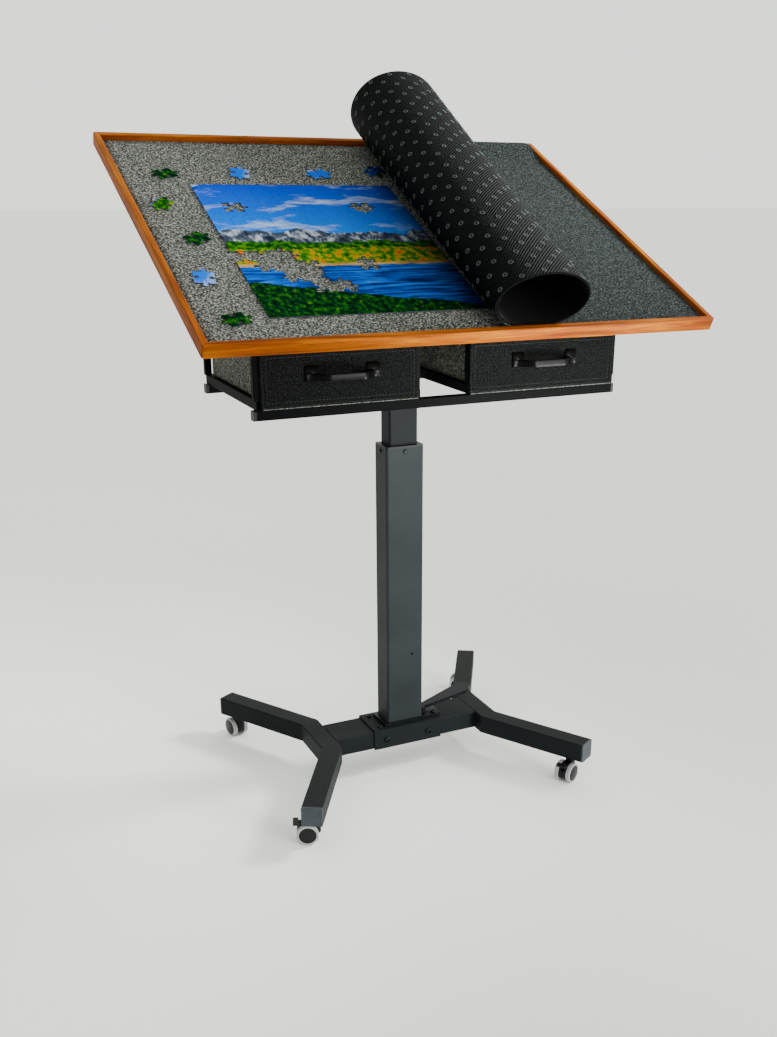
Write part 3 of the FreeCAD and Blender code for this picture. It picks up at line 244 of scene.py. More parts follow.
# %% Plated, oxidised and chromed steel
def metal(name, colour, shade, roughness, grain):
    """A bare or plated metal: two close tones and a fine grain in its gloss."""
    finish, tree, shader = new_finish(name, {"Metallic": 1.0, "Roughness": roughness})
    place = add(tree, "TexCoord").outputs["Object"]
    noise = add(tree, "TexNoise", {"Vector": place}, {"Scale": grain, "Detail": 4})
    tone = add(tree, "ValToRGB", {"Fac": noise.outputs[0]}, stops=[(0.35, shade), (0.65, colour)])
    gloss = add(tree, "MapRange", {"Value": noise.outputs[0]},
                {"To Min": roughness - 0.06, "To Max": roughness + 0.08})
    bump = add(tree, "Bump", {"Height": noise.outputs[0]}, {"Strength": 0.15, "Distance": 0.0001})
    join(tree, shader, Base_Color=tone.outputs[0], Roughness=gloss.outputs[0], Normal=bump.outputs[0])
    return finish


# %% [markdown]
# The casters, caps, bumpers and handles come out of moulds whose walls were eroded by sparks. That texture is
# finer than a millimetre, so it only dulls the shine, and noise draws it well enough.

# %% Moulded plastics and rubber
def moulded(name, colour, shade, roughness, texture, specular=0.5):
    """A moulded polymer: an even colour, with the spark texture of its mould in the gloss and the bump."""
    finish, tree, shader = new_finish(
        name, {"IOR": 1.5, "Roughness": roughness, "Specular IOR Level": specular})
    place = add(tree, "TexCoord").outputs["Object"]
    spark = add(tree, "TexNoise", {"Vector": place}, {"Scale": texture, "Detail": 3, "Roughness": 0.65})
    cloud = add(tree, "TexNoise", {"Vector": place}, {"Scale": 40, "Detail": 3})
    tone = add(tree, "ValToRGB", {"Fac": cloud.outputs[0]}, stops=[(0.35, shade), (0.65, colour)])
    gloss = add(tree, "MapRange", {"Value": spark.outputs[0]},
                {"To Min": roughness - 0.05, "To Max": roughness + 0.08})
    bump = add(tree, "Bump", {"Height": spark.outputs[0]}, {"Strength": 0.3, "Distance": 0.0001})
    join(tree, shader, Base_Color=tone.outputs[0], Roughness=gloss.outputs[0], Normal=bump.outputs[0])
    return finish


# %% [markdown]
# The board, the mat and the drawers are covered in needled felt. Its look is salt and pepper: dark, middle
# and light fibres lie side by side. A ramp with three stops on one noise gives those flecks, and a second,
# finer noise the nap. Felt throws back no clear reflection, so its specular level is nil.

# %% Needled felt
def felt(name, dark, middle, light, fleck):
    """Needled polyester felt: patches of three greys, fleck of them to the metre, under a finer nap."""
    finish, tree, shader = new_finish(
        name, {"Roughness": 0.95, "Sheen Weight": 0.02, "Sheen Roughness": 0.6, "Specular IOR Level": 0.0})
    place = add(tree, "TexCoord").outputs["Object"]
    flecks = add(tree, "TexNoise", {"Vector": place},
                 {"Scale": fleck, "Detail": 4, "Roughness": 0.65, "Distortion": 0.2})
    fibres = add(tree, "TexNoise", {"Vector": place}, {"Scale": 1500, "Detail": 2, "Roughness": 0.7})
    tone = add(tree, "ValToRGB", {"Fac": flecks.outputs[0]},
               stops=[(0.4, dark), (0.5, middle), (0.62, light)])
    hair = add(tree, "ValToRGB", {"Fac": fibres.outputs[0]}, stops=[(0.35, 0.72), (0.65, 1.0)])
    mixed = add(tree, "MixRGB", {"Color1": tone.outputs[0], "Color2": hair.outputs[0]}, {"Fac": 1.0},
                blend_type="MULTIPLY")
    height = add(tree, "Math", {0: flecks.outputs[0], 1: fibres.outputs[0]}, operation="ADD")
    bump = add(tree, "Bump", {"Height": height.outputs[0]}, {"Strength": 0.5, "Distance": 0.0006})
    join(tree, shader, Base_Color=mixed.outputs[0], Normal=bump.outputs[0])
    return finish


# %% [markdown]
# The rim is hardwood in a honey varnish. Its grain is noise that is stretched along the strip: once for the
# broad growth lines, once for the fine pores and once for slow patches. It reads a flat map that runs along
# each strip, because object coordinates would run the grain the same way through all four sides.

# %% Varnished wood of the rim
def rim_wood():
    """Sawn hardwood under a clear honey varnish: growth lines some 10 mm apart, with finer ones between, and
    fine dark pores along the grain."""
    finish, tree, shader = new_finish("varnished_hardwood", {
        "IOR": 1.5, "Roughness": 0.5, "Specular IOR Level": 0.03})
    place = add(tree, "TexCoord").outputs["UV"]
    long_grain = add(tree, "Mapping", {"Vector": place}, {"Scale": (3.0, 60.0, 1.0)})
    pore_grain = add(tree, "Mapping", {"Vector": place}, {"Scale": (22.0, 900.0, 1.0)})
    patch_grain = add(tree, "Mapping", {"Vector": place}, {"Scale": (6.0, 14.0, 1.0)})
    bands = add(tree, "TexNoise", {"Vector": long_grain.outputs[0]},
                {"Scale": 1.6, "Detail": 5, "Roughness": 0.6, "Distortion": 0.8})
    pores = add(tree, "TexNoise", {"Vector": pore_grain.outputs[0]}, {"Scale": 1.0, "Detail": 3})
    patches = add(tree, "TexNoise", {"Vector": patch_grain.outputs[0]}, {"Scale": 1.0, "Detail": 2})
    tone = add(tree, "ValToRGB", {"Fac": bands.outputs[0]},
               stops=[(0.3, "#582800"), (0.48, "#844400"), (0.62, "#9e5a00"), (0.78, "#bc7800")])
    streak = add(tree, "ValToRGB", {"Fac": pores.outputs[0]}, stops=[(0.36, 0.62), (0.52, 1.0)])
    warm = add(tree, "ValToRGB", {"Fac": patches.outputs[0]}, stops=[(0.3, "#c99a60"), (0.65, "#ffffff")])
    lined = add(tree, "MixRGB", {"Color1": tone.outputs[0], "Color2": streak.outputs[0]}, {"Fac": 0.75},
                blend_type="MULTIPLY")
    mixed = add(tree, "MixRGB", {"Color1": lined.outputs[0], "Color2": warm.outputs[0]}, {"Fac": 0.7},
                blend_type="MULTIPLY")
    bump = add(tree, "Bump", {"Height": pores.outputs[0]}, {"Strength": 0.25, "Distance": 0.0002})
    join(tree, shader, Base_Color=mixed.outputs[0], Normal=bump.outputs[0])
    return finish


# %% [markdown]
# The panel under the felt is fibreboard, and shows only from below. It has no grain, so an even noise does.

# %% Fibreboard of the panel
def fibreboard():
    """Medium density fibreboard, sanded: a brown felt of fibres with darker specks a millimetre across."""
    finish, tree, shader = new_finish("fibreboard", {"Roughness": 0.8, "Specular IOR Level": 0.3})
    place = add(tree, "TexCoord").outputs["Object"]
    fibre = add(tree, "TexNoise", {"Vector": place}, {"Scale": 700, "Detail": 5, "Roughness": 0.7})
    tone = add(tree, "ValToRGB", {"Fac": fibre.outputs[0]}, stops=[(0.3, "#6d4f33"), (0.7, "#a07d56")])
    bump = add(tree, "Bump", {"Height": fibre.outputs[0]}, {"Strength": 0.2, "Distance": 0.0002})
    join(tree, shader, Base_Color=tone.outputs[0], Normal=bump.outputs[0])
    return finish


# %% [markdown]
# The mat's back is black rubber with fine diagonal ribs that keep it from slipping. Thousands of modelled
# ribs would be heavy, and they are about a millimetre high, so a wave texture on the flat map draws them.

# %% Ribbed rubber backing of the mat
RIB_PITCH = 0.0042    # metres from rib to rib


def ribbed_rubber():
    """Nitrile rubber calendered with diagonal ribs, near black and faintly green. The wave texture's bands
    are 2 pi / (20 scale) apart, so the scale is worked out from the ribs' pitch in metres."""
    finish, tree, shader = new_finish("ribbed_rubber_backing", {
        "IOR": 1.52, "Roughness": 0.6, "Specular IOR Level": 0.02})
    sheet_map = add(tree, "TexCoord").outputs["UV"]
    turned = add(tree, "Mapping", {"Vector": sheet_map}, {"Rotation": (0, 0, math.radians(45))})
    ribs = add(tree, "TexWave", {"Vector": turned.outputs[0]},
               {"Scale": 2 * math.pi / (20 * RIB_PITCH)})
    dust = add(tree, "TexNoise", {"Vector": sheet_map}, {"Scale": 60, "Detail": 6, "Roughness": 0.7})
    grain = add(tree, "TexNoise", {"Vector": sheet_map}, {"Scale": 900, "Detail": 2})
    # Painted highlight and shade: the ribs' crests are coloured lighter and their grooves darker, for the
    # light the crests catch.
    tone = add(tree, "ValToRGB", {"Fac": ribs.outputs["Fac"]}, stops=[(0.25, "#020303"), (0.8, "#0b1311")])
    worn = add(tree, "ValToRGB", {"Fac": dust.outputs[0]}, stops=[(0.3, 0.75), (0.75, 1.0)])
    mixed = add(tree, "MixRGB", {"Color1": tone.outputs[0], "Color2": worn.outputs[0]}, {"Fac": 1.0},
                blend_type="MULTIPLY")
    height = add(tree, "Math", {0: grain.outputs[0], 2: ribs.outputs["Fac"]}, {1: 0.15},
                 operation="MULTIPLY_ADD")
    bump = add(tree, "Bump", {"Height": height.outputs[0]}, {"Strength": 1.0, "Distance": 0.0014})
    join(tree, shader, Base_Color=mixed.outputs[0], Normal=bump.outputs[0])
    return finish


# %% [markdown]
# Every CAD node names a slot in the record, and that slot picks its finish. The rack is blacker than the
# outer column, and the base and the inner column are between the two, so those nodes get coats of their own.

# %% Make the plain finishes and dress the CAD nodes
finishes = {
    "steel": powder_coat("charcoal_powder_coat", "#1e2324", "#262c2d", 0.08),
    "bright_steel": metal("zinc_plated_steel", "#b9bcbf", "#9ba0a6", 0.35, 500),
    "black_hardware": metal("black_oxide_steel", "#24282a", "#17191b", 0.42, 400),
    "chrome_rod": metal("hard_chrome", "#c9ccd0", "#bfc3c7", 0.16, 900),
    "black_plastic": moulded("moulded_black_polyamide", "#101213", "#0b0c0d", 0.45, 900, 0.15),
    "hub_plastic": moulded("satin_hub_cover", "#0e0f11", "#0a0b0d", 0.4, 700, 0.2),
    "tread": moulded("grey_polyurethane_tread", "#9c9d9b", "#8c8d8b", 0.5, 500),
    "rubber": moulded("bumper_rubber", "#17181a", "#101112", 0.7, 600),
    "strap": moulded("glossy_black_handle", "#030303", "#020202", 0.3, 300, 0.06),
    "rim_wood": rim_wood(),
    "panel_wood": fibreboard(),
    "felt_grey": felt("heathered_grey_felt", "#222421", "#434641", "#94978f", 320),
    "felt_dark": felt("heathered_dark_felt", "#030404", "#0a0c0b", "#222523", 460),
    "mat_felt": felt("charcoal_mat_felt", "#0d1111", "#1c2120", "#434a48", 320),
}
backing = ribbed_rubber()
coats = {
    powder_coat("black_powder_coat", "#040505", "#070808", 0.02): (
        "long_rails", "cross_rails", "rack_posts", "top_frame"),
    powder_coat("dark_powder_coat", "#121616", "#171b1c", 0.06): (
        "left_yoke", "right_yoke", "base_beam", "centre_bracket", "inner_column"),
    moulded("grey_leg_cap", "#363b40", "#2d3236", 0.45, 500, 0.2): ("leg_end_caps",)}
node_slots = {row["node"]: row["material_slot"] for row in frame["record"]["subparts"]}
for node, piece in frame["nodes"].items():
    piece.data.materials.clear()
    piece.data.materials.append(finishes.get(node_slots[node], finishes["felt_grey"]))
for coat, nodes in coats.items():
    for node in nodes:
        frame["nodes"][node].data.materials[0] = coat
print("finishes:", len(finishes) + len(coats))

# %% [markdown]
# ## The wood rim
# Four hardwood strips are mitred at the corners. Each is one section with rounded edges, carried along the
# board's side: its ends follow the mitre, and its outer face bends round the corner's 5 mm radius. A bevelled
# box would lose that curve, so the section is swept instead.

# %% Four mitred strips
CORNER = 5.0
OUTER_EASE, INNER_EASE = 1.5, 0.8    # radii of the section's outer and inner edges
STRIP_STEPS = 16


def rim_strip(length, seed):
    """A rounded section swept from mitre to mitre. A fibre at offset o from the outer face starts on the
    diagonal, turns through 45 degrees on a radius of CORNER - o and then runs straight."""
    section = rounded_loop(RIM_WIDTH / 2, RIM_HEIGHT / 2, [OUTER_EASE, OUTER_EASE, INNER_EASE, INNER_EASE])
    offset, height = section[:, 0] + RIM_WIDTH / 2, section[:, 1] - RIM_HEIGHT / 2
    radius = np.maximum(CORNER - offset, 0.4)
    turn = np.radians(np.linspace(-135, -90, 6))[:, None]
    along = offset + radius + radius * np.cos(turn)
    inward = offset + radius + radius * np.sin(turn)
    share = np.linspace(0, 1, STRIP_STEPS + 2)[1:-1, None]
    straight = along[-1] + share * (length - 2 * along[-1])
    along = np.concatenate([along, straight, length - along[::-1]])
    inward = np.concatenate([inward, np.broadcast_to(offset, straight.shape), inward[::-1]])
    girth = np.append(0, np.cumsum(np.hypot(*np.diff(np.vstack([section, section[:1]]), axis=0).T)))
    shift = np.random.default_rng(seed).uniform(0, 2000, 2)
    closed_along = np.concatenate([along, along[:, :1]], 1)
    uv = np.stack([closed_along + shift[0], np.broadcast_to(girth + shift[1], closed_along.shape)], -1)
    return along, inward, np.broadcast_to(height, along.shape), uv


half_width = BOARD_WIDTH / 2
strips = []
for side, length in enumerate([BOARD_WIDTH, BOARD_DEPTH, BOARD_WIDTH, BOARD_DEPTH]):
    along, inward, height, uv = rim_strip(length, side + 3)
    x, run = [
        (along - half_width, inward), (half_width - inward, along),
        (half_width - along, BOARD_DEPTH - inward), (inward - half_width, BOARD_DEPTH - along)][side]
    strips.append(loft(on_board(x, run, height), uv))
for name, strip in zip(["rim_front", "rim_right", "rim_back", "rim_left"], strips):
    mesh_piece(name, strip, [finishes["rim_wood"]], "board", ["board_rim"])

# %% [markdown]
# ## The board's felt
# A 2 mm felt is glued flat on the panel inside the rim. A flat sheet would do, but a real one has a slightly
# uneven face and a soft corner, so it is a grid that rises and falls by a tenth of a millimetre.

# %% Glued felt
FELT_GAP = 0.3     # between the felt's edge and the rim
FELT_SINK = 1.1    # from the felt's level down to the sheet's middle
FELT_WAVE = 0.1    # how far its face rises and falls


def glued_felt():
    """A flat grid just inside the rim; the height is the felt's middle plus two crossing slow waves."""
    gap = RIM_WIDTH + FELT_GAP
    x = np.linspace(gap - half_width, half_width - gap, 61)
    run = np.linspace(gap, BOARD_DEPTH - gap, 49)[:, None]
    wave = FELT_WAVE * np.sin(x / 37) * np.sin(run / 29)
    grid = on_board(x, run, FELT_TOP - FELT_SINK + wave)
    faces, _, _ = grid_faces(*grid.shape[:2])
    return grid.reshape(-1, 3), faces.tolist(), None


board_sheet = mesh_piece("glued_board_felt", glued_felt(), [finishes["felt_grey"]], "board",
                         ["board_felt"], closed=False)
thick = board_sheet.modifiers.new("felt thickness", "SOLIDIFY")
thick.thickness, thick.offset = 0.0018, 0.0

# %% [markdown]
# ## The cover mat
# One sheet of felt with a rubber back, 880 mm wide. Its right part lies flat and laps over the back rim, and
# its left part is rolled up over itself, so the rubber shows outside. A cloth simulation would settle this
# shape badly, as the roll is held by the mat's own stiffness. So the sheet is bent by a formula that keeps
# its length: flat up to a line, then round an ellipse whose size grows from the front end to the back.

# %% Where a point of the mat lies
MAT_RIGHT, MAT_FRONT, MAT_BACK = 437.0, 12.0, 690.0
MAT_WIDTH, MAT_THICK, MAT_CORNER = 880.0, 3.0, 12.0
MAT_GAP = 0.3    # between the mat and the board's felt
MAT_LEVEL = FELT_TOP + MAT_GAP + MAT_THICK / 2
LAP_START, LAP_RISE, LAP_REACH = 630.0, 10.0, 5.0    # the run where the lap starts, its rise and its reach
LAP_LEFT, LAP_FADE = 150.0, 50.0     # the lap begins to the right of this x and is full after this width
ROLL_FRONT = (93.0, 87.0, 49.7)      # the roll's centre x, half-width and half-height at its front end
ROLL_GROWTH = (26.0, 4.0, 22.0)      # how much each of them grows to the back end
FRONT_LEAN, LEAN_SHARE = 6.0, 0.3    # lean of the front end, and the share of the length where it fades
INNER_STEP = 3.4                     # how much nearer the centre the second turn runs
SECOND_TURN, TURN_FADE = math.radians(200), math.radians(150)    # where it draws in, and over what angle


def roll_size(run):
    """The roll's centre x, half-width and half-height, each changing evenly from the front end to the back,
    and its lean to the right, which fades out behind the front end."""
    t = np.clip((run - MAT_FRONT) / (MAT_BACK - MAT_FRONT), 0, 1)
    centre, half_wide, half_high = (front + growth * t for front, growth in zip(ROLL_FRONT, ROLL_GROWTH))
    return centre, half_wide, half_high, FRONT_LEAN * (1 - smooth_step(t / LEAN_SHARE))


def roll_path(angle, half_wide, half_high, lean):
    """The sheet's middle (x, n) and its heading at an angle from the roll's lowest line: an ellipse whose top
    leans over by twice the lean. The second turn lies inside the first."""
    inside = MAT_THICK / 2 + INNER_STEP * smooth_step((angle - SECOND_TURN) / TURN_FADE)
    a, b = half_wide - inside, half_high - inside
    place = (lean * (1 - np.cos(angle)) - a * np.sin(angle), half_high - b * np.cos(angle))
    return *place, lean * np.sin(angle) - a * np.cos(angle), b * np.sin(angle)


ROLL_ROWS, ARC_STEPS = 33, 640    # ellipses from front to back, and millimetres of sheet round each
row_runs = np.linspace(MAT_FRONT, MAT_BACK, ROLL_ROWS)
angles = np.linspace(0, 10, 4001)
angle_of_arc = []
for run in row_runs:
    across, high, _, _ = roll_path(angles, *roll_size(run)[1:])
    arc = np.append(0, np.cumsum(np.hypot(np.diff(across), np.diff(high))))
    angle_of_arc.append(np.interp(np.arange(ARC_STEPS), arc, angles))
angle_of_arc = np.array(angle_of_arc)
print("roll table:", angle_of_arc.shape)


def roll_angle(arc, run):
    """The angle round the roll after that length of sheet, read between the rows of the table."""
    row = np.clip((run - MAT_FRONT) / (MAT_BACK - MAT_FRONT), 0, 1) * (ROLL_ROWS - 1)
    i = np.minimum(row.astype(int), ROLL_ROWS - 2)
    arc = np.clip(arc, 0, ARC_STEPS - 1.001)
    k = arc.astype(int)
    p, q = row - i, arc - k
    table = angle_of_arc
    return ((table[i, k] * (1 - q) + table[i, k + 1] * q) * (1 - p)
            + (table[i + 1, k] * (1 - q) + table[i + 1, k + 1] * q) * p)


def mat_point(s, run, lift=0.0, lap=0.0):
    """The sheet at s from its right edge and run from the board's front. It is flat up to the roll's lowest
    line and then goes round the ellipse; lift moves it out on the rubber side, lap is 0 to 1 over the rim."""
    s, run = np.broadcast_arrays(np.asarray(s, float), np.asarray(run, float))
    centre, wide, high, lean = roll_size(run)
    arc = s - (MAT_RIGHT - centre)
    across, up, way_x, way_n = roll_path(roll_angle(arc, run), wide, high, lean)
    flat = arc < 0
    size = np.hypot(way_x, way_n)
    over = smooth_step((MAT_RIGHT - s - LAP_LEFT) / LAP_FADE) * flat
    x = np.where(flat, MAT_RIGHT - s, centre + across - lift * way_n / size)
    flat_n = MAT_LEVEL + over * LAP_RISE * smooth_step(lap)
    n = np.where(flat, flat_n, FELT_TOP + MAT_GAP + up + lift * way_x / size)
    return x, run + over * LAP_REACH * lap ** 2, n


# %% The mat's sheet
# How far round the roll, past its lowest line, the felt starts to be painted near black as shade.
PAINTED_SHADE_START = 60.0    # how far round the roll its felt counts as inside


def mat_sheet():
    """A grid of the flat sheet with rounded corners: near a side edge the rows draw in by the corner's arc.
    Also gives each face its finish: 0 in the open, 2 inside the roll, where the felt is painted near black as
    the roll's shade."""
    edge = np.array([0, 0.4, 1.2, 2.5, 4.5, 7.5, MAT_CORNER])
    s = np.concatenate([edge, np.linspace(18, MAT_WIDTH - 18, 142), MAT_WIDTH - edge[::-1]])
    front = MAT_FRONT + np.array([0, 0.6, 1.6, 3, 5, 8])
    lap = np.linspace(0, 1, 13)[1:]
    over_rim = LAP_START + (MAT_BACK - LAP_START) * lap
    run = np.concatenate([front, np.linspace(26, LAP_START, 98), over_rim])[:, None]
    lap = np.concatenate([np.zeros(len(run) - len(lap)), lap])[:, None]
    from_side = np.minimum(s, MAT_WIDTH - s)
    reach = np.clip(MAT_CORNER - from_side, 0, None)
    draw_in = MAT_CORNER - np.sqrt(MAT_CORNER ** 2 - reach ** 2)
    length = MAT_BACK - MAT_FRONT
    run = MAT_FRONT + draw_in + (run - MAT_FRONT) * (length - 2 * draw_in) / length
    x, lapped, n = mat_point(s, run, lap=lap)
    grid = on_board(x, lapped, n)
    faces, row, column = grid_faces(*grid.shape[:2])
    uv = np.stack(np.broadcast_arrays(s, run + LAP_REACH * lap ** 2), -1)
    painted_shade_mask = np.broadcast_to(s > MAT_RIGHT - roll_size(run)[0] + PAINTED_SHADE_START, grid.shape[:2])
    painted_shade_faces = painted_shade_mask[row[:, 0], column[:, 0]]
    skin = grid.reshape(-1, 3), faces[:, ::-1].tolist(), uv[row, column][:, ::-1].reshape(-1, 2)
    return skin, np.where(painted_shade_faces, 2, 0)


mat_skin, mat_index = mat_sheet()
# Painted shade: the felt inside the roll is the mat's own felt, coloured near black for the shade it lies in.
painted_shade_felt = felt("felt_painted_roll_shade", "#020202", "#040505", "#0a0c0b", 260)
mat = mesh_piece("cover_mat_sheet", mat_skin, [finishes["mat_felt"], backing, painted_shade_felt, backing], "mat",
                 ["cover_mat"], closed=False, sharp=60, finish_index=mat_index)
thick = mat.modifiers.new("mat thickness", "SOLIDIFY")
thick.thickness, thick.offset, thick.material_offset = MAT_THICK / 1000, 0.0, 1

# %% [markdown]
# The rubber back carries small raised rings that grip the table. They sit on a square lattice turned 45
# degrees to the sheet's edges. A bump would vanish along the roll's outline, so each ring is a low ridge of
# its own, bent with the sheet because its points go through the same formula.

# %% Raised rings on the rubber
RING_PITCH, RING_OUT, RING_IN, RING_SIDES = 38.8, 4.5, 2.1, 12
RING_EASE, RING_RISE, RING_FOOT = 0.4, 0.45, -0.1    # slope of the walls, height of its top and its foot
RING_START, RING_MARGIN = 9.0, 6.0                   # first row behind the front edge, bare strip at each end
FIRST_RING_ANGLE, LAST_RING_ANGLE = 24, 318          # degrees round the roll between which rings are made


def mat_rings():
    """Ring centres are (P i, P j) and the same moved by half a pitch both ways. A ring is four loops of
    points: outer foot, outer top, inner top, inner foot."""
    lattice = np.stack(np.meshgrid(np.arange(30), np.arange(20)), -1).reshape(-1, 2)
    centres = np.concatenate([lattice, lattice + 0.5]) * RING_PITCH + [0, RING_START]
    s, run = centres[:, 0], MAT_FRONT + centres[:, 1]
    arc = s - (MAT_RIGHT - roll_size(run)[0])
    angle = np.degrees(roll_angle(arc, run))
    keep = (arc > 0) & (angle > FIRST_RING_ANGLE) & (angle < LAST_RING_ANGLE)
    keep &= (run > MAT_FRONT + RING_MARGIN) & (run < MAT_BACK - RING_MARGIN)
    s, run = s[keep], run[keep]
    turn = np.linspace(0, 2 * math.pi, RING_SIDES, endpoint=False)
    radius = np.array([RING_OUT, RING_OUT - RING_EASE, RING_IN + RING_EASE, RING_IN])[:, None]
    lift = MAT_THICK / 2 + np.array([RING_FOOT, RING_RISE, RING_RISE, RING_FOOT])[:, None]
    s, run = s[:, None, None] + radius * np.cos(turn), run[:, None, None] + radius * np.sin(turn)
    points = on_board(*mat_point(s, run, np.broadcast_to(lift, (4, RING_SIDES))))
    k, m = np.meshgrid(np.arange(4), np.arange(RING_SIDES), indexing="ij")
    this, following = k * RING_SIDES, (k + 1) % 4 * RING_SIDES
    beside = (m + 1) % RING_SIDES
    quad = np.stack([this + m, this + beside, following + beside, following + m], -1).reshape(-1, 4)
    faces = np.arange(len(s))[:, None, None] * 4 * RING_SIDES + quad
    print("rings:", len(s))
    return points.reshape(-1, 3), faces.reshape(-1, 4).tolist(), None


mesh_piece("mat_grip_rings", mat_rings(), [moulded("pale_grip_rings", "#3c4443", "#323a39", 0.6, 400, 0.1)],
           "mat")

# %% [markdown]
# ## The puzzle
# The joined part has eleven columns and thirteen rows of knobbed card pieces, with a few still missing. Each
# inner edge is one curve with a knob, shared by the two pieces it parts, so they fit as cut card does. Every
# piece is drawn in by a hair and eased along its top edge, and that gap draws the cut lines.

# %% Cut lines and pieces
PUZZLE_X, PUZZLE_RUN, PUZZLE_COLUMNS, PUZZLE_ROWS = -326.0, 79.0, 11, 13
PITCH_X, PITCH_RUN, CARD = 371.0 / 11, 436.0 / 13, 2.0
CUT, EASE, CARD_GAP = 0.1, 0.25, 0.05    # half the cut's width, the eased edge, and the gap under the card
KNOB = np.array([(0, 0), (0.2, 0.012), (0.37, -0.012), (0.432, 0.045), (0.372, 0.13), (0.386, 0.215),
                 (0.45, 0.262), (0.55, 0.262), (0.614, 0.215), (0.628, 0.13), (0.568, 0.045), (0.63, -0.012),
                 (0.8, 0.012), (1, 0)])
missing = {(1, 10), (8, 10), (6, 4), (0, 5), (1, 5), (2, 5), (1, 4), (2, 4), (3, 4), (2, 3), (3, 3), (3, 2),
           (4, 2)}


def knobbed_edges(start, end, side, inner):
    """Edges of many pieces at once: from start to end with the knob's curve across side, straight on the
    border, where inner is 0."""
    count = start.shape[:-1]
    sign = np.where(chance.random(count) < 0.5, -1.0, 1.0) * inner
    size = chance.uniform(0.9, 1.1, count)
    chance.uniform(-0.05, 0.05, count)    # a draw passed over, which keeps the later ones as they are
    v = KNOB[:, 1] * (sign * size)[..., None]
    return start[..., None, :] + v[..., None] * side + (end - start)[..., None, :] * KNOB[:, :1]


def drawn_in(outline, gap):
    """A closed outline moved inwards by gap along the normal between each point's two neighbours."""
    tangent = np.roll(outline, -1, -2) - np.roll(outline, 1, -2)
    tangent /= np.linalg.norm(tangent, axis=-1, keepdims=True)
    return outline + gap * np.stack([-tangent[..., 1], tangent[..., 0]], -1)


def card_pieces(outlines, picture, level):
    """Card pieces from outlines in board millimetres: rings at the foot, below the eased edge and on top."""
    rings, flats = [], []
    for gap, height in ((CUT, 0.0), (CUT, CARD - EASE), (CUT + EASE, CARD)):
        inside = drawn_in(outlines, gap)
        rings.append(on_board(inside[..., 0], inside[..., 1], level + height))
        flats.append(drawn_in(picture, gap))
    points, flat = np.stack(rings, 1), np.stack(flats, 1)
    parts = []
    for piece, piece_flat in zip(points, flat):
        parts.append(loft(piece, np.concatenate([piece_flat, piece_flat[:, :1]], 1)))
    return gather(parts)


def joined_outlines():
    """Outlines of the joined pieces: front edge, right edge, back edge reversed, left edge reversed."""
    i, j = np.meshgrid(np.arange(PUZZLE_COLUMNS + 1), np.arange(PUZZLE_ROWS + 1))
    corners = np.stack([PUZZLE_X + i * PITCH_X, PUZZLE_RUN + j * PITCH_RUN], -1).astype(float)
    inner = (i > 0) & (i < PUZZLE_COLUMNS) & (j > 0) & (j < PUZZLE_ROWS)
    corners[inner] += chance.uniform(-1.2, 1.2, (inner.sum(), 2))
    knobs_across = ((j > 0) & (j < PUZZLE_ROWS))[:, :-1] * 1.0
    across = knobbed_edges(corners[:, :-1], corners[:, 1:], np.array([0, PITCH_RUN]), knobs_across)
    knobs_along = ((i > 0) & (i < PUZZLE_COLUMNS))[:-1] * 1.0
    along = knobbed_edges(corners[:-1], corners[1:], np.array([PITCH_X, 0]), knobs_along)
    front, right = across[:-1, :, :-1], along[:, 1:, :-1]
    back, left = across[1:, :, :0:-1], along[:, :-1, :0:-1]
    return np.concatenate([front, right, back, left], 2)


outlines = joined_outlines()
kept = np.array([[(i, j) not in missing for i in range(PUZZLE_COLUMNS)] for j in range(PUZZLE_ROWS)])
outlines = outlines[kept]
puzzle_skin = card_pieces(outlines, outlines - [PUZZLE_X, PUZZLE_RUN], FELT_TOP + CARD_GAP)


# %% [markdown]
# The printed picture is a made-up landscape, painted by nodes on the puzzle's own flat map: clouds on a blue
# sky, a ridge with snow, wooded hills with a few red trees, a sandy shore, a lake and a dark meadow in
# front. The picture darkens towards its right edge, beside the roll: that is the roll's shadow, painted on.
# Each band lies below a wavy line, so the bands are laid over one another from the sky down.

# %% The printed picture
BAND_EDGE = 0.0006    # half the width of the step between two bands, in metres


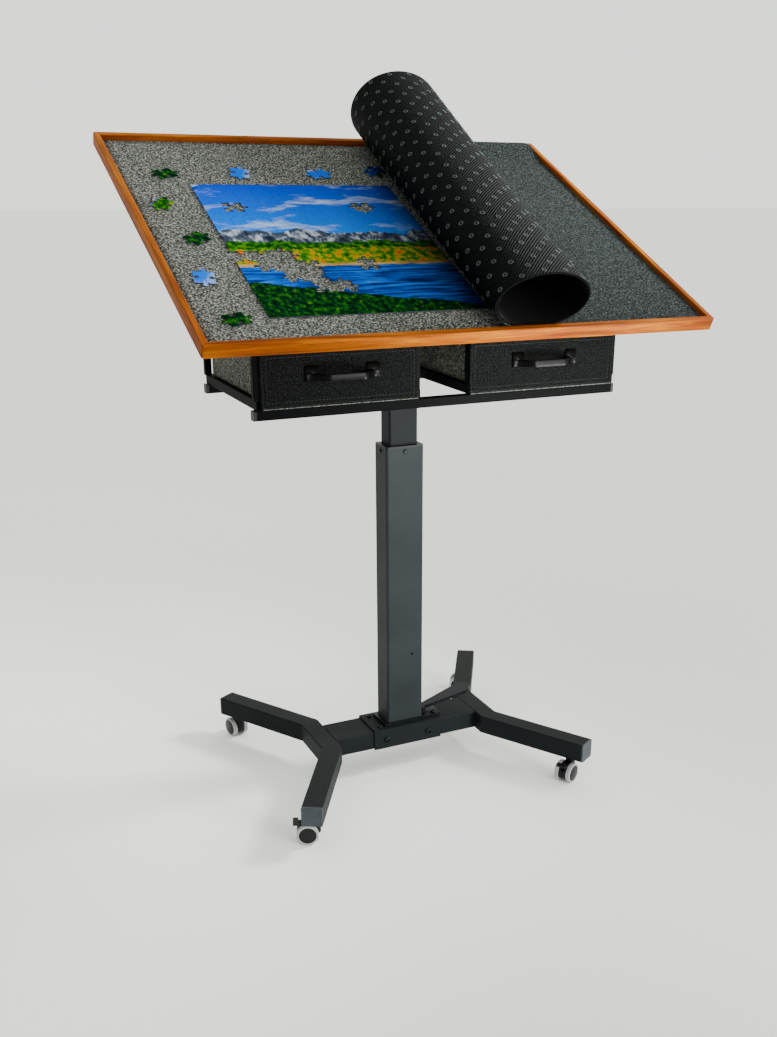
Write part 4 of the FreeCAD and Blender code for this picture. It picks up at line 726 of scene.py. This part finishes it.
def printed_card():
    """Offset print on card, with the roll's shadow painted over its right part. A band's edge is a height
    plus noise, and its mask is a sharp step there.
    """
    finish, tree, shader = new_finish("printed_card_painted_roll_shadow", {"Roughness": 0.5, "Specular IOR Level": 0.0})
    place = add(tree, "TexCoord").outputs["UV"]
    axes = add(tree, "SeparateXYZ", {"Vector": place})
    u, v = axes.outputs[0], axes.outputs[1]
    fine = add(tree, "TexNoise", {"Vector": place}, {"Scale": 160, "Detail": 6, "Roughness": 0.65})

    def painted(scale, stretch, turn, stops, distortion=0.0):
        """Colours of one band: a stretched, turned noise through a ramp."""
        mapped = add(tree, "Mapping", {"Vector": place},
                     {"Scale": (stretch[0], stretch[1], 1), "Rotation": (0, 0, math.radians(turn))})
        values = {"Scale": scale, "Detail": 6, "Roughness": 0.62, "Distortion": distortion}
        noise = add(tree, "TexNoise", {"Vector": mapped.outputs[0]}, values)
        return add(tree, "ValToRGB", {"Fac": noise.outputs[0]}, stops=stops).outputs[0]

    def below(height, sway, scale, slope=0.0, rough=0.0):
        """1 below a wavy line and 0 above: height + slope u + sway noise(u) + rough fine noise, less v, is
        made a sharp step."""
        line = add(tree, "TexNoise", {"W": u}, {"Scale": scale, "Detail": 4}, noise_dimensions="1D")
        wave = add(tree, "Math", {0: line.outputs[0]}, {1: sway, 2: height - sway / 2},
                   operation="MULTIPLY_ADD")
        tipped = add(tree, "Math", {0: u, 2: wave.outputs[0]}, {1: slope}, operation="MULTIPLY_ADD")
        ragged = add(tree, "Math", {0: fine.outputs[0], 2: tipped.outputs[0]}, {1: rough},
                     operation="MULTIPLY_ADD")
        gap = add(tree, "Math", {0: ragged.outputs[0], 1: v}, operation="SUBTRACT")
        step = add(tree, "MapRange", {"Value": gap.outputs[0]},
                   {"From Min": -BAND_EDGE, "From Max": BAND_EDGE})
        return step.outputs[0]

    up = add(tree, "MapRange", {"Value": v}, {"From Min": 0.2, "From Max": 0.44})
    sky = add(tree, "ValToRGB", {"Fac": up.outputs[0]}, stops=[
        (0.0, "#0070c8"), (0.45, "#0058bc"), (1.0, "#0034a4")]).outputs[0]
    cloud_map = add(tree, "Mapping", {"Vector": place},
                    {"Scale": (5, 13, 1), "Rotation": (0, 0, math.radians(-28))})
    clouds = add(tree, "TexNoise", {"Vector": cloud_map.outputs[0]},
                 {"Scale": 1.5, "Detail": 8, "Roughness": 0.62, "Distortion": 0.5})
    puff = add(tree, "ValToRGB", {"Fac": clouds.outputs[0]}, stops=[(0.54, 0.0), (0.68, 0.9)]).outputs[0]
    picture = add(tree, "MixRGB", {"Fac": puff, "Color1": sky}, {"Color2": linear("#a4b4c0")}).outputs[0]
    bands = [
        (below(0.262, 0.09, 11), painted(60, (1, 0.6), 50, [
            (0.35, "#141e2c"), (0.5, "#3a4250"), (0.6, "#8a94a0"), (0.8, "#b4bcc4")], distortion=0.4)),
        (below(0.222, 0.05, 17, rough=0.012), painted(90, (1, 1), 0, [
            (0.35, "#021404"), (0.52, "#104a08"), (0.68, "#4c8404")])),
        (below(0.196, 0.03, 30, rough=0.02), painted(70, (1, 1), 20, [
            (0.3, "#042008"), (0.48, "#2c6804"), (0.57, "#9c8000"), (0.63, "#a81400"), (0.8, "#bc8800")])),
        (below(0.158, 0.014, 22), painted(60, (0.4, 2), 0, [
            (0.35, "#745424"), (0.65, "#a89058")])),
        (below(0.148, 0.010, 26), painted(34, (0.35, 4.5), 0, [
            (0.32, "#000c28"), (0.46, "#002870"), (0.6, "#0058b8"), (0.76, "#5090c0")], distortion=0.3)),
        (below(0.096, 0.03, 15, slope=-0.24, rough=0.012), painted(110, (1, 0.8), 0, [
            (0.32, "#010806"), (0.5, "#042410"), (0.64, "#1c5408"), (0.78, "#747c10")])),
    ]
    for mask, paint in bands:
        picture = add(tree, "MixRGB", {"Fac": mask, "Color1": picture, "Color2": paint}).outputs[0]
    # Painted shadow of the roll: the picture is darkened from u = 0.22 m to its right edge, down to 0.3 of
    # its colour.
    painted_roll_shadow = add(tree, "MapRange", {"Value": u},
               {"From Min": 0.22, "From Max": 0.37, "To Min": 1.0, "To Max": 0.3})
    picture = add(tree, "MixRGB", {"Color1": picture, "Color2": painted_roll_shadow.outputs[0]}, {"Fac": 1.0},
                  blend_type="MULTIPLY").outputs[0]
    linen = add(tree, "TexNoise", {"Vector": place}, {"Scale": 1200, "Detail": 2})
    bump = add(tree, "Bump", {"Height": linen.outputs[0]}, {"Strength": 0.2, "Distance": 0.0002})
    join(tree, shader, Base_Color=picture, Normal=bump.outputs[0])
    return finish


def card_edge():
    """Grey chipboard, the core of puzzle card: blue-grey pulp with paler specks."""
    finish, tree, shader = new_finish("grey_chipboard_core", {"Roughness": 0.85, "Specular IOR Level": 0.2})
    place = add(tree, "TexCoord").outputs["Object"]
    pulp = add(tree, "TexNoise", {"Vector": place}, {"Scale": 900, "Detail": 3})
    tone = add(tree, "ValToRGB", {"Fac": pulp.outputs[0]}, stops=[(0.35, "#2b2f34"), (0.7, "#555a60")])
    join(tree, shader, Base_Color=tone.outputs[0])
    return finish


card_finishes = [printed_card(), card_edge()]


def cut_card(name, skin, replaced):
    """Card pieces whose top and eased edge carry the print and whose sides show the core. A piece's faces are
    the sides, the eased edge, the foot and the top."""
    around = 4 * (len(KNOB) - 1)
    index = np.ones(2 * around + 2, int)
    index[around:2 * around] = 0
    index[-1] = 0
    mesh_piece(name, skin, card_finishes, "board", replaced, sharp=30,
               finish_index=np.tile(index, len(skin[1]) // len(index)))


cut_card("joined_puzzle", puzzle_skin, ["puzzle_sheet"])

# %% Loose pieces on the felt
# Each row is x and run of the piece's middle, its turn in degrees, and its place on the picture in metres.
loose_places = [(-358, 557, 20, 0.08, 0.04), (-224, 562, 75, 0.09, 0.31), (-75, 562, 10, 0.16, 0.34),
                (43, 575, 50, 0.34, 0.03), (-393, 445, 60, 0.05, 0.22), (-366, 325, 35, 0.04, 0.05),
                (-390, 201, 80, 0.14, 0.30), (-376, 79, 15, 0.10, 0.02)]


def loose_outlines():
    """One piece's four knobbed edges about its own centre, with knobs and sockets as chance has it."""
    half = PITCH_X / 2
    corners = np.array([(-half, -half), (half, -half), (half, half), (-half, half)])
    shapes = []
    for _ in loose_places:
        edges = []
        signs = np.array([-1, 1, -1, 1]) * chance.uniform(0.9, 1.1, 4)
        for k in range(4):
            start, end = corners[k], corners[(k + 1) % 4]
            step = end - start
            out = np.array([step[1], -step[0]])
            edges.append((start + KNOB[:, :1] * step + KNOB[:, 1:] * signs[k] * out)[:-1])
        shapes.append(np.concatenate(edges))
    return np.array(shapes)


shapes = loose_outlines()
places = np.array(loose_places)
turn = np.radians(places[:, 2])
cos, sin = np.cos(turn), np.sin(turn)
turned = np.stack([np.stack([cos, -sin], -1), np.stack([sin, cos], -1)], 1)
laid = np.einsum("kij,kpj->kpi", turned, shapes) + places[:, None, :2]
loose_skin = card_pieces(laid, shapes + places[:, None, 3:] * 1000, FELT_TOP + CARD_GAP)
cut_card("loose_puzzle_pieces", loose_skin, ["loose_pieces"])

# %% [markdown]
# ## The drawers
# Each drawer is a tray of stiff grey felt with a darker stitched front panel that hides the rails, and a
# folded hem along the front's lower edge, in a pale felt that paints the highlight its rounded edge catches.
# The tray
# is one closed skin: rings go up the outside, over the rounded lip and down the inside. The front is a slab
# with soft edges and shallow channels where the seams pull the felt in, and the stitches lie in them one by
# one.

# %% Felt trays and fronts
TRAY_WALL, TRAY_FLOOR, TRAY_CORNER = 3.0, 4.0, 6.0
SEAM_INSETS = (4.0, 10.8)    # how far inside the front's outline each seam runs
STITCH_PITCH, STITCH_DEPTH = 6.0, 0.45


def felt_tray(low, high):
    """Rings of a rounded rectangle (inset, height): outside up, over the lip, inside down to the floor."""
    centre, half = (low + high) / 2, (high - low) / 2
    top, floor = high[2], low[2] + TRAY_FLOOR
    rings = []
    for inset, z in [(2.0, low[2]), (0.6, low[2] + 0.5), (0.0, low[2] + 2), (0.0, top - 1.2),
                     (0.4, top - 0.3), (1.5, top), (TRAY_WALL - 0.4, top - 0.3), (TRAY_WALL, top - 1.2),
                     (TRAY_WALL, floor + 2), (TRAY_WALL + 0.6, floor + 0.5), (TRAY_WALL + 2, floor)]:
        loop = rounded_loop(half[0] - inset, half[1] - inset, max(TRAY_CORNER - inset, 1.5))
        rings.append(np.column_stack([loop + centre[:2], np.full(len(loop), z)]))
    return loft(np.array(rings))


def felt_front(low, high):
    """Rings of a rounded rectangle facing the user (inset, depth): back, round the rim, and in over the face
    with a channel under each seam."""
    centre, half = (low + high) / 2, (high - low) / 2
    face = low[1]
    rings = []
    for inset, y in [(1.5, high[1]), (0.3, high[1] - 0.5), (0, face + 1.5), (0.4, face + 0.5),
                     (1.5, face + 0.05), (3.2, face + 0.15), (SEAM_INSETS[0], face + 0.7),
                     (4.8, face + 0.15), (7, face), (9.8, face + 0.1), (SEAM_INSETS[1], face + 0.6),
                     (12, face + 0.1), (14, face)]:
        loop = rounded_loop(half[0] - inset, half[2] - inset, max(4 - inset, 0.8))
        rings.append(np.column_stack([loop[:, 0] + centre[0], np.full(len(loop), y), loop[:, 1] + centre[2]]))
    return loft(np.array(rings))


def seam_stitches(low, high):
    """Stitches round the front in both channels: each is a short lens of thread, four rings of six points
    that are thinner at its ends."""
    centre, half = (low + high) / 2, (high - low) / 2
    places, headings = [], []
    for inset in SEAM_INSETS:
        for lying, across, side in ((True, half[0], half[2]), (False, half[2], half[0])):
            reach = across - inset - 2
            along = np.linspace(-reach, reach, int(2 * reach / STITCH_PITCH) + 1)
            for sign in (-1, 1):
                fixed = np.full(len(along), sign * (side - inset))
                places.append(np.stack([along, fixed] if lying else [fixed, along], -1))
                headings.append(np.full(len(along), 0 if lying else 1))
    places, headings = np.concatenate(places), np.concatenate(headings)
    length = np.array([-2.1, -1.3, 1.3, 2.1])[:, None]
    radius = np.array([0.12, 0.36, 0.36, 0.12])[:, None]
    turn = np.linspace(0, 2 * math.pi, 6, endpoint=False)
    along = np.broadcast_to(length, (4, 6))
    side, out = radius * np.cos(turn), radius * np.sin(turn)
    x = np.where(headings[:, None, None] == 0, along, side) + (places[:, 0] + centre[0])[:, None, None]
    z = np.where(headings[:, None, None] == 0, side, along) + (places[:, 1] + centre[2])[:, None, None]
    y = np.broadcast_to(low[1] + STITCH_DEPTH - out, x.shape)
    return gather([loft(ring) for ring in np.stack([x, y, z], -1)])


def folded_hem(low, high):
    """The fold along the front's lower edge: one round bead of felt, a little proud of the face."""
    bead = rounded_loop(0.9, 0.9, 0.85, 4)
    x = np.linspace(low[0] + 3, high[0] - 3, 25)[:, None]
    return loft(np.stack(np.broadcast_arrays(x, bead[:, 0] + low[1] + 0.5, bead[:, 1] + low[2] + 1.3), -1))


# The hem's bead is real; its pale felt is a painted highlight for the light its rounded edge catches.
painted_highlight_felt = felt("hem_bead_painted_highlight", "#2c2f2b", "#4c4f4a", "#7c7f79", 460)
thread = moulded("dark_polyester_thread", "#2a2c2e", "#1e2022", 0.6, 900, 0.1)
tray_felt = felt("grey_tray_felt", "#282a26", "#454842", "#7a7d75", 320)
for side in ("left", "right"):
    body = side + "_drawer"
    mesh_piece(side + "_felt_tray", felt_tray(*cad_box_mm(side + "_drawer_box")), [tray_felt],
               body, [side + "_drawer_box"])
    box = cad_box_mm(side + "_drawer_front")
    mesh_piece(side + "_felt_front", felt_front(*box), [finishes["felt_dark"]], body,
               [side + "_drawer_front"], sharp=60)
    mesh_piece(side + "_front_stitches", seam_stitches(*box), [thread], body)
    mesh_piece(side + "_front_hem", folded_hem(*box), [painted_highlight_felt], body)

# %% [markdown]
# Each handle is a moulded strap that bows out from two tabs. Its path is a smooth hump, and one rounded
# section is carried along it, so the light runs along the strap as it does on the real one.

# %% Strap handles
STRAP_DROP, STRAP_THICK, STRAP_WIDTH = 5.5, 3.5, 12.0    # it hangs that far below the tabs' middle
BOW_START, BOW_RISE = 8.0, 28.0                          # from the handle's end, and the length of the rise
TAB_HALF = 12.0


def handle_strap(low, high):
    """A flat rounded section swept along x, a little below the tabs' middle; the bow is a smooth rise from
    each tab to the middle span."""
    centre, half = (low + high) / 2 - [0, 0, STRAP_DROP], (high - low) / 2
    section = rounded_loop(STRAP_THICK / 2, STRAP_WIDTH / 2, 1.2, 4)
    x = np.linspace(-half[0] + 3, half[0] - 3, 49)
    rise = smooth_step((half[0] - BOW_START - np.abs(x)) / BOW_RISE)
    base, top = high[1] - STRAP_THICK / 2 - 0.1, low[1] + STRAP_THICK / 2
    y = base + (top - base) * rise
    slope = np.gradient(y, x)
    size = np.hypot(1, slope)
    points = np.stack([
        x[:, None] - section[:, 0] * (slope / size)[:, None] + centre[0],
        y[:, None] + section[:, 0] * (1 / size)[:, None],
        np.broadcast_to(section[:, 1] + centre[2], (len(x), len(section)))], -1)
    return loft(points)


def handle_tab(low, high, side):
    """A rounded tab under the strap's end: rings from its foot on the felt to its eased face."""
    centre, half = (low + high) / 2, (high - low) / 2
    rings = []
    for inset, y in [(0, high[1] - 0.05), (0, high[1] - 1.7), (0.8, high[1] - 2.5)]:
        loop = rounded_loop(TAB_HALF - inset, half[2] - inset, 3 - inset)
        x = loop[:, 0] + centre[0] + side * (half[0] - TAB_HALF)
        rings.append(np.column_stack([x, np.full(len(loop), y), loop[:, 1] + centre[2]]))
    return loft(np.array(rings))


for side in ("left", "right"):
    box = cad_box_mm(side + "_drawer_handle")
    parts = [handle_strap(*box), handle_tab(*box, -1), handle_tab(*box, 1)]
    mesh_piece(side + "_strap_handle", gather(parts), [finishes["strap"]], side + "_drawer",
               [side + "_drawer_handle"], sharp=50)

# %% [markdown]
# ## Bolts and screws
# The base is held by button-head bolts with hexagon sockets. A socket is a ring of points moved onto a
# hexagon, so one grid of rings makes the head, the socket's wall and its floor.

# %% Socket heads
def socket_head(seat, axis, radius, height, shank, reach):
    """Rings about the axis: shank end, shank, head's underside, its rim, the domed top, then the socket,
    whose points lie on a hexagon: r = r6 cos(30) / cos(angle within its side)."""
    turn = np.linspace(0, 2 * math.pi, 24, endpoint=False)
    hexagon = math.cos(math.pi / 6) / np.cos((turn + math.pi / 6) % (math.pi / 3) - math.pi / 6)
    round_shape = np.ones_like(turn)
    socket = radius * 0.5
    rows = [(shank * 0.8, -reach, round_shape), (shank, -reach + 0.6, round_shape), (shank, 0, round_shape),
            (radius * 0.95, 0, round_shape), (radius, height * 0.2, round_shape),
            (radius * 0.97, height * 0.55, round_shape), (radius * 0.84, height * 0.88, round_shape),
            (radius * 0.66, height, round_shape), (socket, height * 0.98, hexagon),
            (socket * 0.94, height * 0.35, hexagon)]
    axis = np.array(axis, float)
    across = np.cross(axis, [0.3, 0.5, 0.81])
    across /= np.linalg.norm(across)
    up = np.cross(axis, across)
    rings = [np.array(seat) + h * axis + (r * shape)[:, None] * (
        np.cos(turn)[:, None] * across + np.sin(turn)[:, None] * up) for r, h, shape in rows]
    return loft(np.array(rings))


def plain_pin(middle, axis, radius, half_length):
    """A round pin with eased ends."""
    turn = np.linspace(0, 2 * math.pi, 24, endpoint=False)
    rings = [np.array(middle) + h * np.array(axis, float) + r * np.stack(
        [np.cos(turn), 0 * turn, np.sin(turn)], -1)
        for r, h in ((radius - 0.4, -half_length), (radius, 0.4 - half_length), (radius, half_length - 0.4),
                     (radius - 0.4, half_length))]
    return loft(np.array(rings))


# Head radius and height, shank radius and reach of each kind of bolt.
BRACKET_BOLT, PLATE_BOLT = (7, 3.5, 3, 16), (5, 3.5, 3, 16)
COLUMN_SCREW, LOW_SCREW = (4, 2, 2, 5), (2.5, 2, 2, 0.1)
COLUMN_FRONT, COLUMN_SIDE, SCREW_LEVEL = 27.5, 38.5, 651
heads = [socket_head((x, y * 41, 66.6), (0, y, 0), *BRACKET_BOLT) for x in (-46, 46) for y in (-1, 1)]
heads += [socket_head((x, y, z), (0, 0, 1), *PLATE_BOLT)
          for x, span, z in ((-57, 27, 91), (66, 20, 97)) for y in (-span, span)]
heads += [socket_head((0, y * COLUMN_FRONT, SCREW_LEVEL), (0, y, 0), *COLUMN_SCREW) for y in (-1, 1)]
heads += [socket_head((x * COLUMN_SIDE, 0, SCREW_LEVEL), (x, 0, 0), *COLUMN_SCREW) for x in (-1, 1)]
heads += [socket_head((15, -COLUMN_FRONT, 240), (0, -1, 0), *LOW_SCREW)]
heads += [plain_pin((46, 0, 103), (0, 1, 0), 2.9, 20)]
mesh_piece("socket_bolts", gather(heads), [finishes["black_hardware"]], "base",
           ["base_fasteners"])

# %% [markdown]
# ## Floor, light and camera
# The table stands on a plain white floor under a pale sky that is dimmer from the left. A soft light at the
# right gives the roll its bright side and its shadow on the puzzle. A low, narrow one picks out the front of
# the rim, and a fill from the front lights the column's face.

# %% Floor and backdrop colour
def pale_floor():
    """Matt painted floor: near white with a very slow change of tone."""
    finish, tree, shader = new_finish("pale_studio_floor", {"Roughness": 0.9, "Specular IOR Level": 0.1})
    place = add(tree, "TexCoord").outputs["Object"]
    slow = add(tree, "TexNoise", {"Vector": place}, {"Scale": 0.8, "Detail": 2})
    tone = add(tree, "ValToRGB", {"Fac": slow.outputs[0]}, stops=[(0.3, "#fcfcfa"), (0.7, "#ffffff")])
    join(tree, shader, Base_Color=tone.outputs[0])
    return finish


floor_mesh = bpy.data.meshes.new("studio_floor")
floor_mesh.from_pydata([(-40, -40, 0), (40, -40, 0), (40, 40, 0), (-40, 40, 0)], [], [(0, 1, 2, 3)])
floor_mesh.materials.append(pale_floor())
floor = bpy.data.objects.new("studio_floor", floor_mesh)
bpy.context.scene.collection.objects.link(floor)

# %% Lights
world = bpy.data.worlds.new("studio")
world.use_nodes = True
sky_tree = world.node_tree
background = sky_tree.nodes["Background"]
background.inputs["Color"].default_value = linear("#fdfefa")
direction = add(sky_tree, "SeparateXYZ", {"Vector": add(sky_tree, "TexCoord").outputs["Generated"]})
glow = add(sky_tree, "MapRange", {"Value": direction.outputs[0]},
           {"From Min": -0.95, "From Max": -0.25, "To Min": 0.5, "To Max": 1.65})
sky_tree.links.new(glow.outputs[0], background.inputs["Strength"])
bpy.context.scene.world = world


def soft_light(name, place, target, size, power, spread):
    """A square area light at place, facing target, with its light held to a cone."""
    light = bpy.data.lights.new(name, "AREA")
    light.shape, light.size, light.energy = "SQUARE", size, power
    light.spread = math.radians(spread)
    lamp = bpy.data.objects.new(name, light)
    bpy.context.scene.collection.objects.link(lamp)
    aim = (Vector(target) - Vector(place)).to_track_quat("-Z", "Y")
    lamp.matrix_world = Matrix.Translation(place) @ aim.to_matrix().to_4x4()
    lamp.visible_camera = False


soft_light("key_right", (1.7, -0.2, 1.7), (0.1, 0.05, 1.05), 0.5, 14, 60)
soft_light("front_right", (0.75, -0.95, 0.35), (0.14, -0.3, 0.88), 0.4, 3.5, 40)
soft_light("front_fill", (0.9, -2.1, 0.6), (0.08, 0, 0.42), 0.6, 6, 45)

# %% Camera
camera_data = bpy.data.cameras.new("view")
camera_data.lens, camera_data.sensor_width = 39.06, 36.0
camera_data.shift_x, camera_data.shift_y = -0.0467, 0.1058
camera = bpy.data.objects.new("view", camera_data)
bpy.context.scene.collection.objects.link(camera)
heading, pitch, roll = math.radians(26.71), math.radians(21.81), math.radians(0.64)
forward = Vector((math.sin(heading) * math.cos(pitch), math.cos(heading) * math.cos(pitch), -math.sin(pitch)))
level = Vector((math.cos(heading), -math.sin(heading), 0))
over = level.cross(forward)
right = level * math.cos(roll) + over * math.sin(roll)
upward = over * math.cos(roll) - level * math.sin(roll)
camera.matrix_world = Matrix.Translation((-0.8721, -1.8996, 1.1240)) @ Matrix(
    (right, upward, -forward)).transposed().to_4x4()
bpy.context.scene.camera = camera

# %% Update the scene
bpy.context.view_layer.update()
